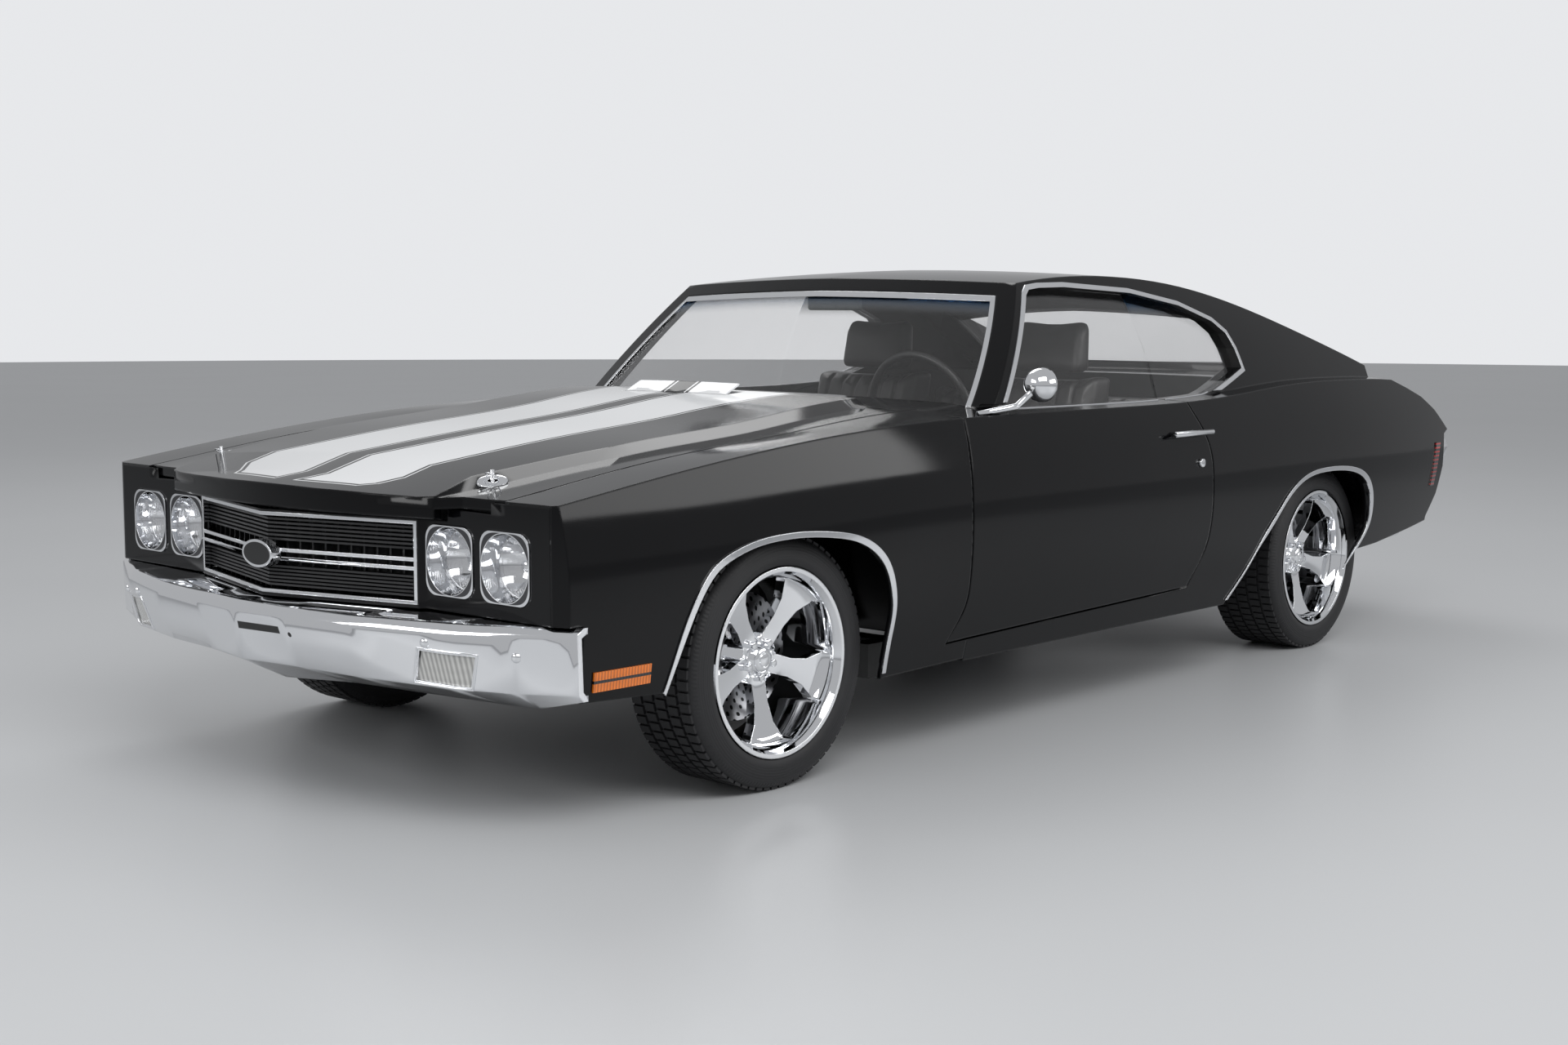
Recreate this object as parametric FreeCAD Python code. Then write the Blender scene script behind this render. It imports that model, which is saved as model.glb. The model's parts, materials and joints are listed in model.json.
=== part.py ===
import FreeCAD, Part
import functools
import math
import os

V = FreeCAD.Vector

# Two-door muscle car of about 1970, in millimetres. X points forward, Y to its left, Z up.
# The origin lies on the ground under the middle of the car.

# Overall sizes
overall_length = 5009.0
body_width = 1915.0
wheelbase = 2845.0
front_overhang = 990.0
front_track = 1540.0
rear_track = 1490.0
belt_height = 905.0
roof_height = 1316.0
sill_height = 235.0

half_length = overall_length / 2
half_width = body_width / 2
front_axle_x = half_length - front_overhang
rear_axle_x = front_axle_x - wheelbase

# Clearances and cuts
shut_gap = 6.0
seat_gap = 0.3
moving_gap = 6.0
overrun = 60.0

# Wall thicknesses
skin_thickness = 12.0
door_thickness = 112.0
door_hem = 22.0
pillar_thickness = 62.0
roof_thickness = 34.0
glass_thickness = 6.0
glass_inset = 26.0

# The body's skins as nets of shares. Stations run from nose to tail, as shares of the half length.
side_station_shares = (1.06, 0.918, 0.778, 0.605, 0.4, 0.16, -0.16, -0.4, -0.6, -0.8, -0.958, -1.05)
side_level_shares = (0.13, 0.33, 0.53, 0.685, 0.84, 0.972, 1.105)
side_width_shares = (
    (0.900, 0.925, 0.936, 0.936, 0.915, 0.880, 0.830),
    (0.915, 0.952, 0.967, 0.967, 0.949, 0.916, 0.868),
    (0.924, 0.962, 0.981, 0.984, 0.965, 0.930, 0.880),
    (0.930, 0.972, 0.993, 0.998, 0.983, 0.948, 0.895),
    (0.918, 0.966, 0.992, 1.000, 0.988, 0.954, 0.902),
    (0.909, 0.961, 0.992, 1.000, 0.989, 0.956, 0.904),
    (0.909, 0.961, 0.992, 1.000, 0.989, 0.956, 0.904),
    (0.916, 0.965, 0.993, 1.000, 0.990, 0.959, 0.908),
    (0.918, 0.964, 0.989, 0.995, 0.984, 0.952, 0.900),
    (0.905, 0.946, 0.968, 0.972, 0.959, 0.926, 0.872),
    (0.878, 0.914, 0.934, 0.937, 0.924, 0.892, 0.840),
    (0.852, 0.886, 0.905, 0.908, 0.895, 0.864, 0.812),
)

top_station_shares = (
    1.06, 0.902, 0.782, 0.663, 0.543, 0.423, 0.285, 0.145,
    0.0, -0.134, -0.254, -0.374, -0.493, -0.613, -0.733, -0.853, -0.973, -1.06,
)
top_across_shares = (0.0, 0.3, 0.585, 0.773, 0.9, 1.06)
top_height_shares = (
    (0.822, 0.815, 0.795, 0.790, 0.785, 0.775),
    (0.872, 0.866, 0.852, 0.848, 0.850, 0.848),
    (0.910, 0.907, 0.902, 0.900, 0.899, 0.896),
    (0.945, 0.943, 0.939, 0.937, 0.939, 0.936),
    (0.976, 0.973, 0.966, 0.963, 0.970, 0.968),
    (1.020, 1.017, 1.006, 1.000, 0.989, 0.983),
    (1.044, 1.041, 1.030, 1.021, 0.999, 0.991),
    (1.042, 1.039, 1.028, 1.016, 1.000, 0.992),
    (1.030, 1.028, 1.022, 1.012, 1.000, 0.992),
    (1.024, 1.023, 1.020, 1.012, 1.002, 0.994),
    (1.040, 1.039, 1.035, 1.026, 1.014, 1.006),
    (1.060, 1.059, 1.055, 1.048, 1.036, 1.028),
    (1.070, 1.069, 1.066, 1.060, 1.048, 1.040),
    (1.068, 1.067, 1.064, 1.058, 1.046, 1.038),
    (1.060, 1.059, 1.056, 1.051, 1.038, 1.030),
    (1.036, 1.035, 1.031, 1.024, 1.009, 1.000),
    (1.004, 1.002, 0.996, 0.986, 0.970, 0.960),
    (0.975, 0.973, 0.966, 0.956, 0.940, 0.930),
)

# The roof and sail panels, stations as above, heights as shares of the roof height
roof_station_shares = (
    0.33, 0.205, 0.086, -0.034, -0.154, -0.274, -0.394, -0.513, -0.633, -0.753, -0.873, -1.0,
)
roof_line_shares = (0.890, 0.940, 0.972, 0.9865, 0.985, 0.966, 0.925, 0.870, 0.812, 0.753, 0.688, 0.620)
roof_across_shares = (0.0, 0.35, 0.69, 0.9)
roof_crown_shares = (0.0175, 0.0135, 0.0, -0.014)
cab_level_shares = (0.90, 1.0, 1.1, 1.2, 1.3, 1.4, 1.52)
cab_width_shares = (0.888, 0.873, 0.846, 0.810, 0.766, 0.712, 0.640)
cab_station_shares = (0.33, 0.1, -0.15, -0.4, -0.62, -0.8, -1.0)
cab_taper_shares = (1.0, 1.0, 1.0, 0.994, 0.972, 0.94, 0.90)
cab_foot_share = 0.92


def drawn_out(rows):
    """Move each inner pole out by a sixth of the net's bend, so that the skin runs through the points."""
    count = len(rows)
    across = len(rows[0])
    first = [[p for p in row] for row in rows]
    for i in range(1, count - 1):
        for j in range(across):
            bend = rows[i - 1][j] - rows[i][j] * 2 + rows[i + 1][j]
            first[i][j] = rows[i][j] - bend / 6
    second = [[p for p in row] for row in first]
    for i in range(count):
        for j in range(1, across - 1):
            bend = first[i][j - 1] - first[i][j] * 2 + first[i][j + 1]
            second[i][j] = first[i][j] - bend / 6
    return second


def even_knots(count):
    """Knots and their multiplicities for an even cubic through this many poles."""
    inner = count - 4
    knots = [i / (inner + 1) for i in range(inner + 2)]
    return knots, [4] + [1] * inner + [4]


def skin(rows):
    """A smooth cubic face near a grid of points."""
    poles = drawn_out(rows)
    u_knots, u_mults = even_knots(len(poles))
    v_knots, v_mults = even_knots(len(poles[0]))
    surface = Part.BSplineSurface()
    surface.buildFromPolesMultsKnots(poles, u_mults, v_mults, u_knots, v_knots, False, False, 3, 3)
    return surface.toShape()


@functools.cache
def side_face():
    rows = []
    for station, widths in zip(side_station_shares, side_width_shares):
        x = station * half_length
        levels = zip(side_level_shares, widths)
        rows.append([V(x, half_width * width, belt_height * level) for level, width in levels])
    return skin(rows)


@functools.cache
def top_face():
    rows = []
    for station, heights in zip(top_station_shares, top_height_shares):
        x = station * half_length
        places = zip(top_across_shares, heights)
        rows.append([V(x, half_width * across, belt_height * height) for across, height in places])
    return skin(rows)


@functools.cache
def roof_face():
    rows = []
    for station, line in zip(roof_station_shares, roof_line_shares):
        x = station * half_length
        places = zip(roof_across_shares, roof_crown_shares)
        rows.append([V(x, half_width * across, roof_height * (line + crown)) for across, crown in places])
    return skin(rows)


@functools.cache
def cab_face():
    rows = []
    for station, taper in zip(cab_station_shares, cab_taper_shares):
        x = station * half_length
        levels = zip(cab_level_shares, cab_width_shares)
        rows.append([V(x, half_width * width * taper, belt_height * level) for level, width in levels])
    return skin(rows)


def mirrored(shape):
    return shape.mirror(V(0, 0, 0), V(0, 1, 0))


def block(x0, x1, y0, y1, z0, z1):
    return Part.makeBox(x1 - x0, y1 - y0, z1 - z0, V(x0, y0, z0))


@functools.cache
def lower_body(inset_side=0.0, inset_top=0.0):
    """The left half of the body below the belt, as a solid, drawn in by the two insets."""
    side = side_face().translated(V(0, -inset_side, 0)).extrude(V(0, -body_width - overrun, 0))
    top = top_face().translated(V(0, 0, -inset_top)).extrude(V(0, 0, -belt_height - overrun))
    half = block(-body_width * 2, body_width * 2, 0, body_width, sill_height, belt_height * 2)
    return side.common(top).common(half)


@functools.cache
def upper_body(inset_side=0.0, inset_top=0.0):
    """The left half of roof and sail panels down to under the belt."""
    side = cab_face().translated(V(0, -inset_side, 0)).extrude(V(0, -body_width - overrun, 0))
    top = roof_face().translated(V(0, 0, -inset_top)).extrude(V(0, 0, -roof_height))
    half = block(
        -body_width * 2, body_width * 2, 0, body_width, belt_height * cab_foot_share, roof_height * 2,
    )
    return side.common(top).common(half)


def front(distance):
    """The place this far ahead of the front axle."""
    return front_axle_x + distance


def upright(solid):
    """The solid with its faces turned outward."""
    return solid.reversed() if solid.Volume < 0 else solid


def flat_wire(points):
    return Part.makePolygon(points + [points[0]])


def plan_prism(points, z0, z1):
    """A polygon of (x, y) pairs raised from z0 to z1."""
    wire = flat_wire([V(x, y, z0) for x, y in points])
    return upright(Part.Face(wire).extrude(V(0, 0, z1 - z0)))


def side_prism(points, y0, y1):
    """A polygon of (x, z) pairs drawn out from y0 to y1."""
    wire = flat_wire([V(x, y0, z) for x, z in points])
    return upright(Part.Face(wire).extrude(V(0, y1 - y0, 0)))


def spline_edge(points):
    curve = Part.BSplineCurve()
    curve.interpolate(points)
    return curve.toShape()


def side_shape(runs, y0, y1):
    """Smooth runs of (x, z) pairs, joined end to end, drawn out from y0 to y1."""
    edges = []
    for index, run in enumerate(runs):
        closing = runs[(index + 1) % len(runs)][0]
        path = [V(x, y0, z) for x, z in run]
        if len(path) > 1:
            edges.append(spline_edge(path) if len(path) > 2 else Part.makeLine(path[0], path[1]))
        end = V(closing[0], y0, closing[1])
        if path[-1].distanceToPoint(end) > seat_gap:
            edges.append(Part.makeLine(path[-1], end))
    return upright(Part.Face(Part.Wire(edges)).extrude(V(0, y1 - y0, 0)))


def joined(shapes):
    first = shapes[0]
    return first.fuse(shapes[1:]).removeSplitter() if len(shapes) > 1 else first


def both_sides(shape):
    return Part.makeCompound([shape, mirrored(shape)])


def whole(shape):
    """A half that reaches the middle, joined to its mirror image."""
    return shape.fuse(mirrored(shape))


def tube(start, end, radius):
    return Part.makeCylinder(radius, (end - start).Length, start, end - start)


# Panel outlines seen from the left: shares of the wheelbase behind the front axle, and of the belt height
front_arch_shares = (
    (0.128, 0.200), (0.123, 0.337), (0.124, 0.389), (0.126, 0.461), (0.121, 0.530), (0.110, 0.595),
    (0.094, 0.641), (0.069, 0.677), (0.038, 0.696), (0.004, 0.706), (-0.029, 0.706), (-0.059, 0.696),
    (-0.084, 0.675), (-0.104, 0.645), (-0.120, 0.590), (-0.134, 0.510), (-0.148, 0.406), (-0.175, 0.200),
)
rear_arch_shares = (
    (0.735, 0.200), (0.767, 0.321), (0.784, 0.379), (0.802, 0.448), (0.821, 0.504), (0.840, 0.560),
    (0.856, 0.607), (0.878, 0.654), (0.909, 0.691), (0.951, 0.706), (1.001, 0.703), (1.036, 0.688),
    (1.066, 0.649), (1.079, 0.602), (1.085, 0.540), (1.083, 0.480), (1.068, 0.412), (1.030, 0.200),
)
door_front_shares = (
    (0.219, 0.331), (0.229, 0.370), (0.242, 0.442), (0.2445, 0.533), (0.2435, 0.705), (0.245, 0.820),
    (0.252, 1.022),
)
door_rear_shares = (
    (0.655, 1.022), (0.662, 0.975), (0.677, 0.902), (0.687, 0.816), (0.688, 0.711), (0.6875, 0.595),
    (0.681, 0.488), (0.668, 0.420), (0.654, 0.359),
)
window_shares = (
    (0.344, 0.985), (0.350, 1.010), (0.403, 1.200), (0.449, 1.365), (0.458, 1.383), (0.478, 1.390),
    (0.5276, 1.394), (0.652, 1.377), (0.7445, 1.334), (0.805, 1.276), (0.826, 1.232), (0.834, 1.177),
    (0.838, 1.105), (0.793, 1.060), (0.762, 1.030), (0.730, 1.008), (0.700, 1.000), (0.675, 0.985),
)
quarter_hem_shares = (
    (1.000, 0.200), (1.060, 0.376), (1.121, 0.386), (1.220, 0.418), (1.282, 0.440), (1.420, 0.540),
    (1.420, 0.200),
)
tail_shares = (
    (1.120, 1.600), (1.165, 1.045), (1.218, 1.000), (1.262, 0.958), (1.300, 0.900), (1.340, 0.812),
    (1.326, 0.795), (1.318, 0.660), (1.297, 0.545), (1.268, 0.457), (1.250, 0.250),
)
tail_bow_shares = (0.8, 0.45)
glass_split_share = 0.650
glass_reach_shares = (-0.4, 1.4)

# Hood, nose and tail, as distances ahead of or behind the front axle and from the middle
hood_half_width = 737.0
hood_thickness = 26.0
hood_rear = 640.0
hood_rear_bow = 50.0
hood_nose_points = (
    (752.0, 737.0), (766.0, 600.0), (806.0, 545.0), (846.0, 375.0), (876.0, 190.0), (888.0, 0.0),
)
nose_points = (
    (690.0, 960.0), (738.0, 930.0), (758.0, 890.0), (768.0, 470.0), (782.0, 458.0), (903.0, 0.0),
)
nose_wall = 40.0
lamp_panel_half_width = 889.0
lamp_panel_bottom = 500.0
dome_rise = 20.0
dome_slope = 32.0
tail_bow = 160.0
lid_front = 3085.0
lid_rear = 3722.0
lid_half_width = 690.0
lid_thickness = 26.0
dome_front_line = ((868.0, 750.0), (700.0, 801.0))
dome_places = ((900.0, 560.0, 740.0), (300.0, 610.0, 840.0), (-640.0, 628.0, 925.0))
dome_lift = 4.0
hood_lip_bottom = 716.0
hood_lip_depth = 22.0
hood_lip_half_width = 545.0
lid_recess = 60.0
lid_foot = 770.0
tail_wall = 12.0

# Cab openings and inner walls
header_height = 1275.0
windshield_base = 925.0
windshield_base_x = 800.0
windshield_top_x = 1190.0
windshield_base_bow = 108.0
windshield_top_bow = 82.0
windshield_bow_at = 700.0
backlight_top_x = 2455.0
backlight_top = 1250.0
backlight_base_x = 3035.0
backlight_base = 968.0
sail_points = ((2455.0, 575.0), (3035.0, 640.0), (3430.0, 770.0))
cabin_half_width = 786.0
cabin_rear = 2580.0
door_reveal = 4.0
firewall_place = 715.0
firewall_thickness = 14.0
floor_height = 286.0
floor_thickness = 14.0
trunk_half_width = 570.0
trunk_front = 2600.0
trunk_rear = 3680.0
trunk_floor = 545.0
quarter_thickness = 60.0
deck_thickness = 30.0
arch_depth = 598.0
dash_depth = 240.0
tunnel_radius = 150.0
window_foot = 850.0
window_front = 1010.0
door_core_front = 700.0
glass_seat = 8.0
fender_hem_shares = ((0.100, 0.200), (0.128, 0.262), (0.260, 0.268), (0.260, 0.200))
window_sill_share = 1.012
window_top_share = 1.42
cowl_reach = 24.0
slot_room = 60.0
wheelhouse_radius = 352.0
wheelhouse_outer = 920.0
mirror_stem_top = 1257.4

# Wheels and tyres
front_tyre_width = 244.0
rear_tyre_width = 264.0
rim_profile = (
    (240, 0), (228, 0), (214, -20), (214, -206), (232, -230), (240, -230), (222, -206), (222, -14),
)
tyre_profile = ((240.3, -10), (250, -1), (285, 4), (312, -4), (321, -24))
spoke_count = 5
spoke_outline = ((40, 25), (110, 24), (160, 34), (196, 56), (214, 74))
dish_profile = (
    (0, -82), (66, -80), (150, -64), (216, -52), (216, -84), (150, -92), (66, -108), (0, -112),
)
hub_radius = 66.0
hub_bore_radius = 33.0
hub_bore_depth = 106.0
hub_cap_radius = 33.0
hub_cap_face = -66.0
hub_back = -150.0
disc_radius = 165.0
disc_thickness = 28.0
disc_face = -146.0
front_lip_offset = 116.0
rear_lip_offset = 122.0

# Front suspension and steering, measured from the front axle, the middle and the ground
kingpin_y = 688.0
knuckle_width = 34.0
knuckle_depth = 60.0
knuckle_low = 236.0
knuckle_high = 415.0
spindle_radius = 26.0
spindle_end = 770.0
caliper_boxes = (
    (10.0, 186.0, 688.0, 706.0, 262.0, 378.0), (100.0, 186.0, 746.5, 764.0, 262.0, 378.0),
    (172.0, 186.0, 688.0, 764.0, 262.0, 378.0),
)
steering_arm = (-150.0, -20.0, 640.0, 690.0, 236.0, 262.0)
lower_arm_points = ((120.0, 395.0, 222.0), (-120.0, 395.0, 222.0), (0.0, 688.0, 206.0))
upper_arm_points = ((90.0, 440.0, 452.0), (-110.0, 440.0, 452.0), (0.0, 660.0, 446.0))
arm_thickness = 22.0
arm_radius = 24.0
coil_radius = 62.0
coil_y = 520.0
coil_low = 232.0
coil_high = 470.0

# Chassis
rail_width = 60.0
rail_height = 96.0
rail_points = (
    (670.0, 395.0, 344.3), (60.0, 395.0, 330.0), (-380.0, 400.0, 262.0),
    (-620.0, 620.0, 214.0),
    (-1950.0, 620.0, 214.0), (-2150.0, 560.0, 214.0), (-2422.0, 480.0, 224.0), (-2570.0, 480.0, 440.0),
    (-3090.0, 480.0, 455.0), (-3260.0, 480.0, 400.0), (-3680.0, 480.0, 400.0),
)
bumper_bracket_box = (630.0, 890.0, 375.0, 415.0, 374.0, 418.0)
crossmember_boxes = (
    (560.0, 630.0, 350.0, 282.0, 340.0), (-90.0, 90.0, 370.0, 240.0, 300.0),
    (-1010.0, -930.0, 600.0, 172.0, 212.0),
    (-2640.0, -2580.0, 460.0, 405.0, 445.0), (-3120.0, -3060.0, 460.0, 430.0, 480.0),
    (-3680.0, -3630.0, 460.0, 370.0, 420.0),
)
floor_box = (-2400.0, -729.6, 0.0, 785.6, 286.0, 300.0)
trunk_floor_box = (-3679.6, -2600.4, 0.0, 569.6, 531.0, 545.0)
heel_box = (-2414.0, -2400.0, 0.0, 597.0, 286.0, 545.0)
seat_floor_box = (-2579.6, -2400.0, 0.0, 597.0, 531.0, 545.0)
tunnel_wall = 14.0
engine_box = (-640.0, 20.0, -230.0, 230.0, 320.0, 800.0)
intake_radius = 190.0
intake_height = 44.0
transmission_box = (-1240.0, -640.3, -85.0, 85.0, 215.0, 384.0)
shaft_radius = 38.0
shaft_front_z = 300.0
axle_height = 321.0
axle_tube_radius = 38.0
axle_end_y = 594.0
differential_radius = 125.0
support_box = (540.0, 620.0, -455.0, 455.0, 391.5, 745.0)
tank_box = (-3700.0, -3290.0, -430.0, 430.0, 262.0, 345.0)
muffler_box = (-2170.0, -1710.0, 240.0, 430.0, 130.0, 230.0)
pipe_radius = 27.0
pipe_points = (
    (-520.0, 300.0, 300.0), (-700.0, 300.0, 200.0), (-900.0, 300.0, 142.0), (-1100.0, 300.0, 142.0),
    (-1700.0, 330.0, 180.0),
    (-2180.0, 330.0, 180.0), (-2480.0, 345.0, 170.0), (-2680.0, 400.0, 330.0), (-2845.0, 405.0, 428.0),
    (-3040.0, 400.0, 360.0),
    (-3160.0, 440.0, 310.0), (-3330.0, 560.0, 300.0), (-3560.0, 640.0, 318.0), (-3800.0, 690.0, 335.0),
)
tip_radius = 34.0
tip_length = 130.0
liner_radius = 402.0
liner_wall = 5.0
liner_center_height = 290.0
liner_inner_y = 456.0
liner_outer_y = 735.0
liner_bottom = 330.0
sump_low = 205.0
spring_y = 500.0
spring_top = 397.8
arm_room_top = 480.0
pipe_bead = 0.8
liner_foot_box = (200.0, 300.0, 372.0, 458.0, 384.2, 390.0)

# Nose, grille and lamps
grille_half_width = 452.0
grille_low = 508.0
grille_high = 705.0
bar_height = 5.0
bar_depth = 20.0
tier_split_low = 588.0
tier_split_high = 618.0
upper_bar_count = 6
lower_bar_count = 6
upright_count = 12
upright_width = 5.0
bright_bar_height = 9.0
emblem_radii = (62.0, 34.0)
emblem_depth = 14.0
lamp_places = ((742.0, 617.0), (552.0, 617.0))
lamp_bowl_radius = 76.0
lamp_bowl_depth = 110.0
lens_radius = 71.0
lens_place = 728.0
lens_bulge = 12.0
bezel_half = 82.0
bezel_corner = 34.0
bezel_rise = 4.0
bezel_back = 716.0
bezel_flare = 8.0
front_bumper_sections = (
    (0.0, 700.0, 496.0, 966.0, 990.0, 474.0, 966.0, 352.0, 842.0, 289.0),
    (190.0, 700.0, 496.0, 950.0, 973.0, 474.0, 930.0, 350.0, 770.0, 289.0),
    (392.0, 680.0, 496.0, 930.0, 952.0, 474.0, 912.0, 350.0, 742.0, 289.0),
    (661.0, 660.0, 497.0, 858.0, 880.0, 474.0, 846.0, 345.0, 700.0, 289.0),
    (800.0, 660.0, 498.0, 792.0, 814.0, 478.0, 786.0, 345.0, 716.0, 300.0),
    (946.0, 702.0, 499.0, 714.0, 734.0, 484.0, 730.0, 350.0, 716.0, 335.0),
)
bumper_wall = 14.0
parking_lamp_points = ((560.0, 358.0), (700.0, 352.0), (724.0, 424.0), (590.0, 430.0))
parking_lamp_depth = 30.0
marker_box = (498.0, 668.0, 346.0, 392.0)
marker_rise = 5.0
rear_marker_points = ((-3704.0, 690.0), (-3748.0, 690.0), (-3676.0, 528.0), (-3640.0, 528.0))
rear_bumper_levels = (
    (474.0, -3745.0), (506.0, -3775.0), (605.0, -3822.0), (667.0, -3840.0), (722.0, -3812.0),
)
rear_bumper_width_shares = (0.860, 0.885, 0.930, 0.940, 0.930)
rear_bumper_depth = 120.0
rear_bumper_bow = 179.0
tail_lamp_box = (430.0, 800.0, 572.0, 676.0)
tail_lamp_depth = 24.0
trim_width = 15.0
trim_rise = 5.0
lamp_room_back = 640.0
panel_drop = 3.0
panel_wall = 14.0
front_panel_top = 762.0
lamp_flare_length = 44.0
fender_nose_shares = ((-0.120, 0.200), (-0.158, 0.347), (-0.380, 0.378), (-0.380, 0.200))
fender_foot_front = 700.0

# Cabin
dash_points = (
    (-800.0, 690.0), (-985.0, 690.0), (-1030.0, 760.0), (-1018.0, 868.0), (-960.0, 893.0),
    (-800.0, 893.0),
)
dash_half_width = 725.0
column_start = (-800.0, 370.0, 760.0)
wheel_center = (-1210.0, 370.0, 872.0)
column_radius = 26.0
steering_radius = 190.0
grip_radius = 12.0
spoke_thin_share = 0.7
steering_hub_radius = 44.0
steering_hub_depth = 40.0
seat_y = 368.0
seat_half_width = 255.0
cushion_points = (
    (-1290.0, 415.0), (-1300.0, 520.0), (-1360.0, 565.0), (-1760.0, 520.0), (-1800.0, 400.0),
    (-1700.0, 392.0),
)
seat_back_points = (
    (-1765.0, 521.0), (-1700.0, 590.0), (-1830.0, 960.0), (-1868.0, 1125.0), (-1905.0, 1170.0),
    (-1960.0, 1160.0),
    (-1950.0, 950.0), (-1870.0, 560.0), (-1800.0, 480.0),
)
headrest_half_width = 150.0
headrest_height = 985.0
seat_base_box = (-1780.0, -1330.0, -200.0, 200.0, 300.3, 400.0)
rear_cushion_points = (
    (-2060.0, 330.0), (-2060.0, 500.0), (-2110.0, 535.0), (-2380.0, 500.0), (-2398.0, 330.0),
)
rear_back_points = (
    (-2395.0, 546.0), (-2330.0, 600.0), (-2470.0, 900.0), (-2520.0, 915.0), (-2560.0, 900.0),
    (-2500.0, 546.0),
)
rear_seat_half_width = 590.0
console_box = (-1700.0, -1010.0, -95.0, 95.0, 436.4, 545.0)
shifter_x = -1240.0
shifter_height = 700.0
shifter_radius = 8.0
knob_radius = 24.0
mirror_place = (-1218.0, 0.0, 1216.0)
mirror_size = (22.0, 240.0, 58.0)
mirror_stem_radius = 7.0

# Handles, mirror, pins and flap
handle_x0 = -1938.0
handle_x1 = -1715.0
handle_z = 812.0
handle_stand = 34.0
handle_radius = 9.0
handle_post_radius = 7.0
lock_place = (-1886.0, 716.0)
lock_radius = 13.0
mirror_head = (-1010.0, 945.0, 984.0)
mirror_radius = 49.0
mirror_levels = (-14.0, 2.0, 16.0, 29.0, 38.0, 44.0)
mirror_level_shares = (1.0, 0.985, 0.90, 0.74, 0.54, 0.30)
mirror_arm_foot = (-806.0, 880.0, 906.0)
mirror_arm_radius = 9.0
pin_x = 650.0
pin_y = 566.0
pin_radius = 5.0
pin_height = 16.0
pin_foot_z = 755.6
flap_front = -508.0
flap_rear = -574.0
flap_half_width = 205.0
flap_thickness = 5.0
flap_angle = 22.0
flap_hinge_z = 952.0
handle_skin_y = 926.0
lock_rise = 4.0
mirror_bend = 20.0
pin_surface_z = 806.0


def outline(shares):
    return [(front_axle_x - back * wheelbase, high * belt_height) for back, high in shares]


def behind(distance):
    """The place this far behind the front axle."""
    return front_axle_x - distance


@functools.cache
def nose_region(back):
    """Everything behind the nose's face, set back by a distance."""
    points = [(front_axle_x + x - back, y) for x, y in nose_points]
    far = half_length * 2
    rear = [(-far, 0), (-far, half_width + overrun), (points[0][0], half_width + overrun)]
    return plan_prism(rear + points, 0, roof_height)


@functools.cache
def tail_region(back):
    """Everything ahead of the tail's bowed face, moved forward by a distance."""
    wires = []
    for x, z in outline(tail_shares):
        edge_x = x + back
        middle_x = edge_x - tail_bow * tail_bow_shares[0]
        middle = V(middle_x, half_width * tail_bow_shares[1], z)
        bow = Part.Arc(V(edge_x, half_width + overrun, z), middle, V(edge_x - tail_bow, 0, z))
        ahead = half_length * 2
        wide = half_width + overrun
        corners = [V(edge_x - tail_bow, 0, z), V(ahead, 0, z), V(ahead, wide, z), V(edge_x, wide, z)]
        wires.append(Part.Wire([bow.toShape()] + list(Part.makePolygon(corners).Edges)))
    return Part.makeLoft(wires, True, True)


def arch_cutter(shares, grow=0.0):
    """A wheel opening through the side, widened by a distance."""
    points = outline(shares)
    middle = (points[0][0] + points[-1][0]) / 2
    scale = 1 + grow / abs(points[0][0] - middle)
    grown = [(middle + (x - middle) * scale, z + grow * (z > belt_height / 2)) for x, z in points]
    return side_shape([grown], arch_depth, half_width + overrun)


@functools.cache
def door_zone(grow=0.0):
    """The door's outline through the body's side, widened by a distance."""
    front_line = [(x + grow, z) for x, z in outline(door_front_shares)]
    rear_line = [(x - grow, z) for x, z in outline(door_rear_shares)]
    front_line[0] = (front_line[0][0], front_line[0][1] - grow)
    rear_line[-1] = (rear_line[-1][0], rear_line[-1][1] - grow)
    return side_shape([front_line, rear_line], cabin_half_width + door_reveal, half_width + overrun)


@functools.cache
def window_zone(grow=0.0):
    """The side window's outline through the cab's side, widened by a distance."""
    wire = flat_wire([V(x, half_width / 2, z) for x, z in outline(window_shares)])
    face = Part.Face(wire)
    if grow:
        face = face.makeOffset2D(grow, join=2)
    return upright(face.extrude(V(0, half_width / 2, 0)))


@functools.cache
def windshield_region(back):
    """Everything behind the curved windshield, set back by a distance."""
    rise = header_height - windshield_base
    wide = half_width
    wires = []
    for share in glass_reach_shares:
        z = windshield_base + rise * share
        middle = behind(windshield_base_x + (windshield_top_x - windshield_base_x) * share) - back
        bow = windshield_base_bow + (windshield_top_bow - windshield_base_bow) * share
        side = middle - bow * (wide / windshield_bow_at) ** 2
        arc = Part.Arc(V(side, wide, z), V(middle, 0, z), V(side, -wide, z))
        far = -half_length * 2
        corners = [V(side, -wide, z), V(far, -wide, z), V(far, wide, z), V(side, wide, z)]
        wires.append(Part.Wire([arc.toShape()] + list(Part.makePolygon(corners).Edges)))
    return Part.makeLoft(wires, True, True)


@functools.cache
def backlight_region(down):
    """Everything over the rear window's slope, moved down by a distance."""
    slope_x = backlight_base_x - backlight_top_x
    fall = backlight_top - backlight_base
    high = roof_height * 2
    far = -half_length * 2
    points = [
        (behind(backlight_top_x - slope_x), high),
        (behind(backlight_top_x - slope_x), backlight_top + fall - down),
        (behind(backlight_base_x), backlight_base - down),
        (far, backlight_base - down),
        (far, high),
    ]
    return side_prism(points, 0, half_width)


def front_block(box):
    """A block whose first two numbers are distances ahead of the front axle."""
    x0, x1, y0, y1, z0, z1 = box
    return block(front(x0), front(x1), y0, y1, z0, z1)


def front_point(point):
    return V(front(point[0]), point[1], point[2])


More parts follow.
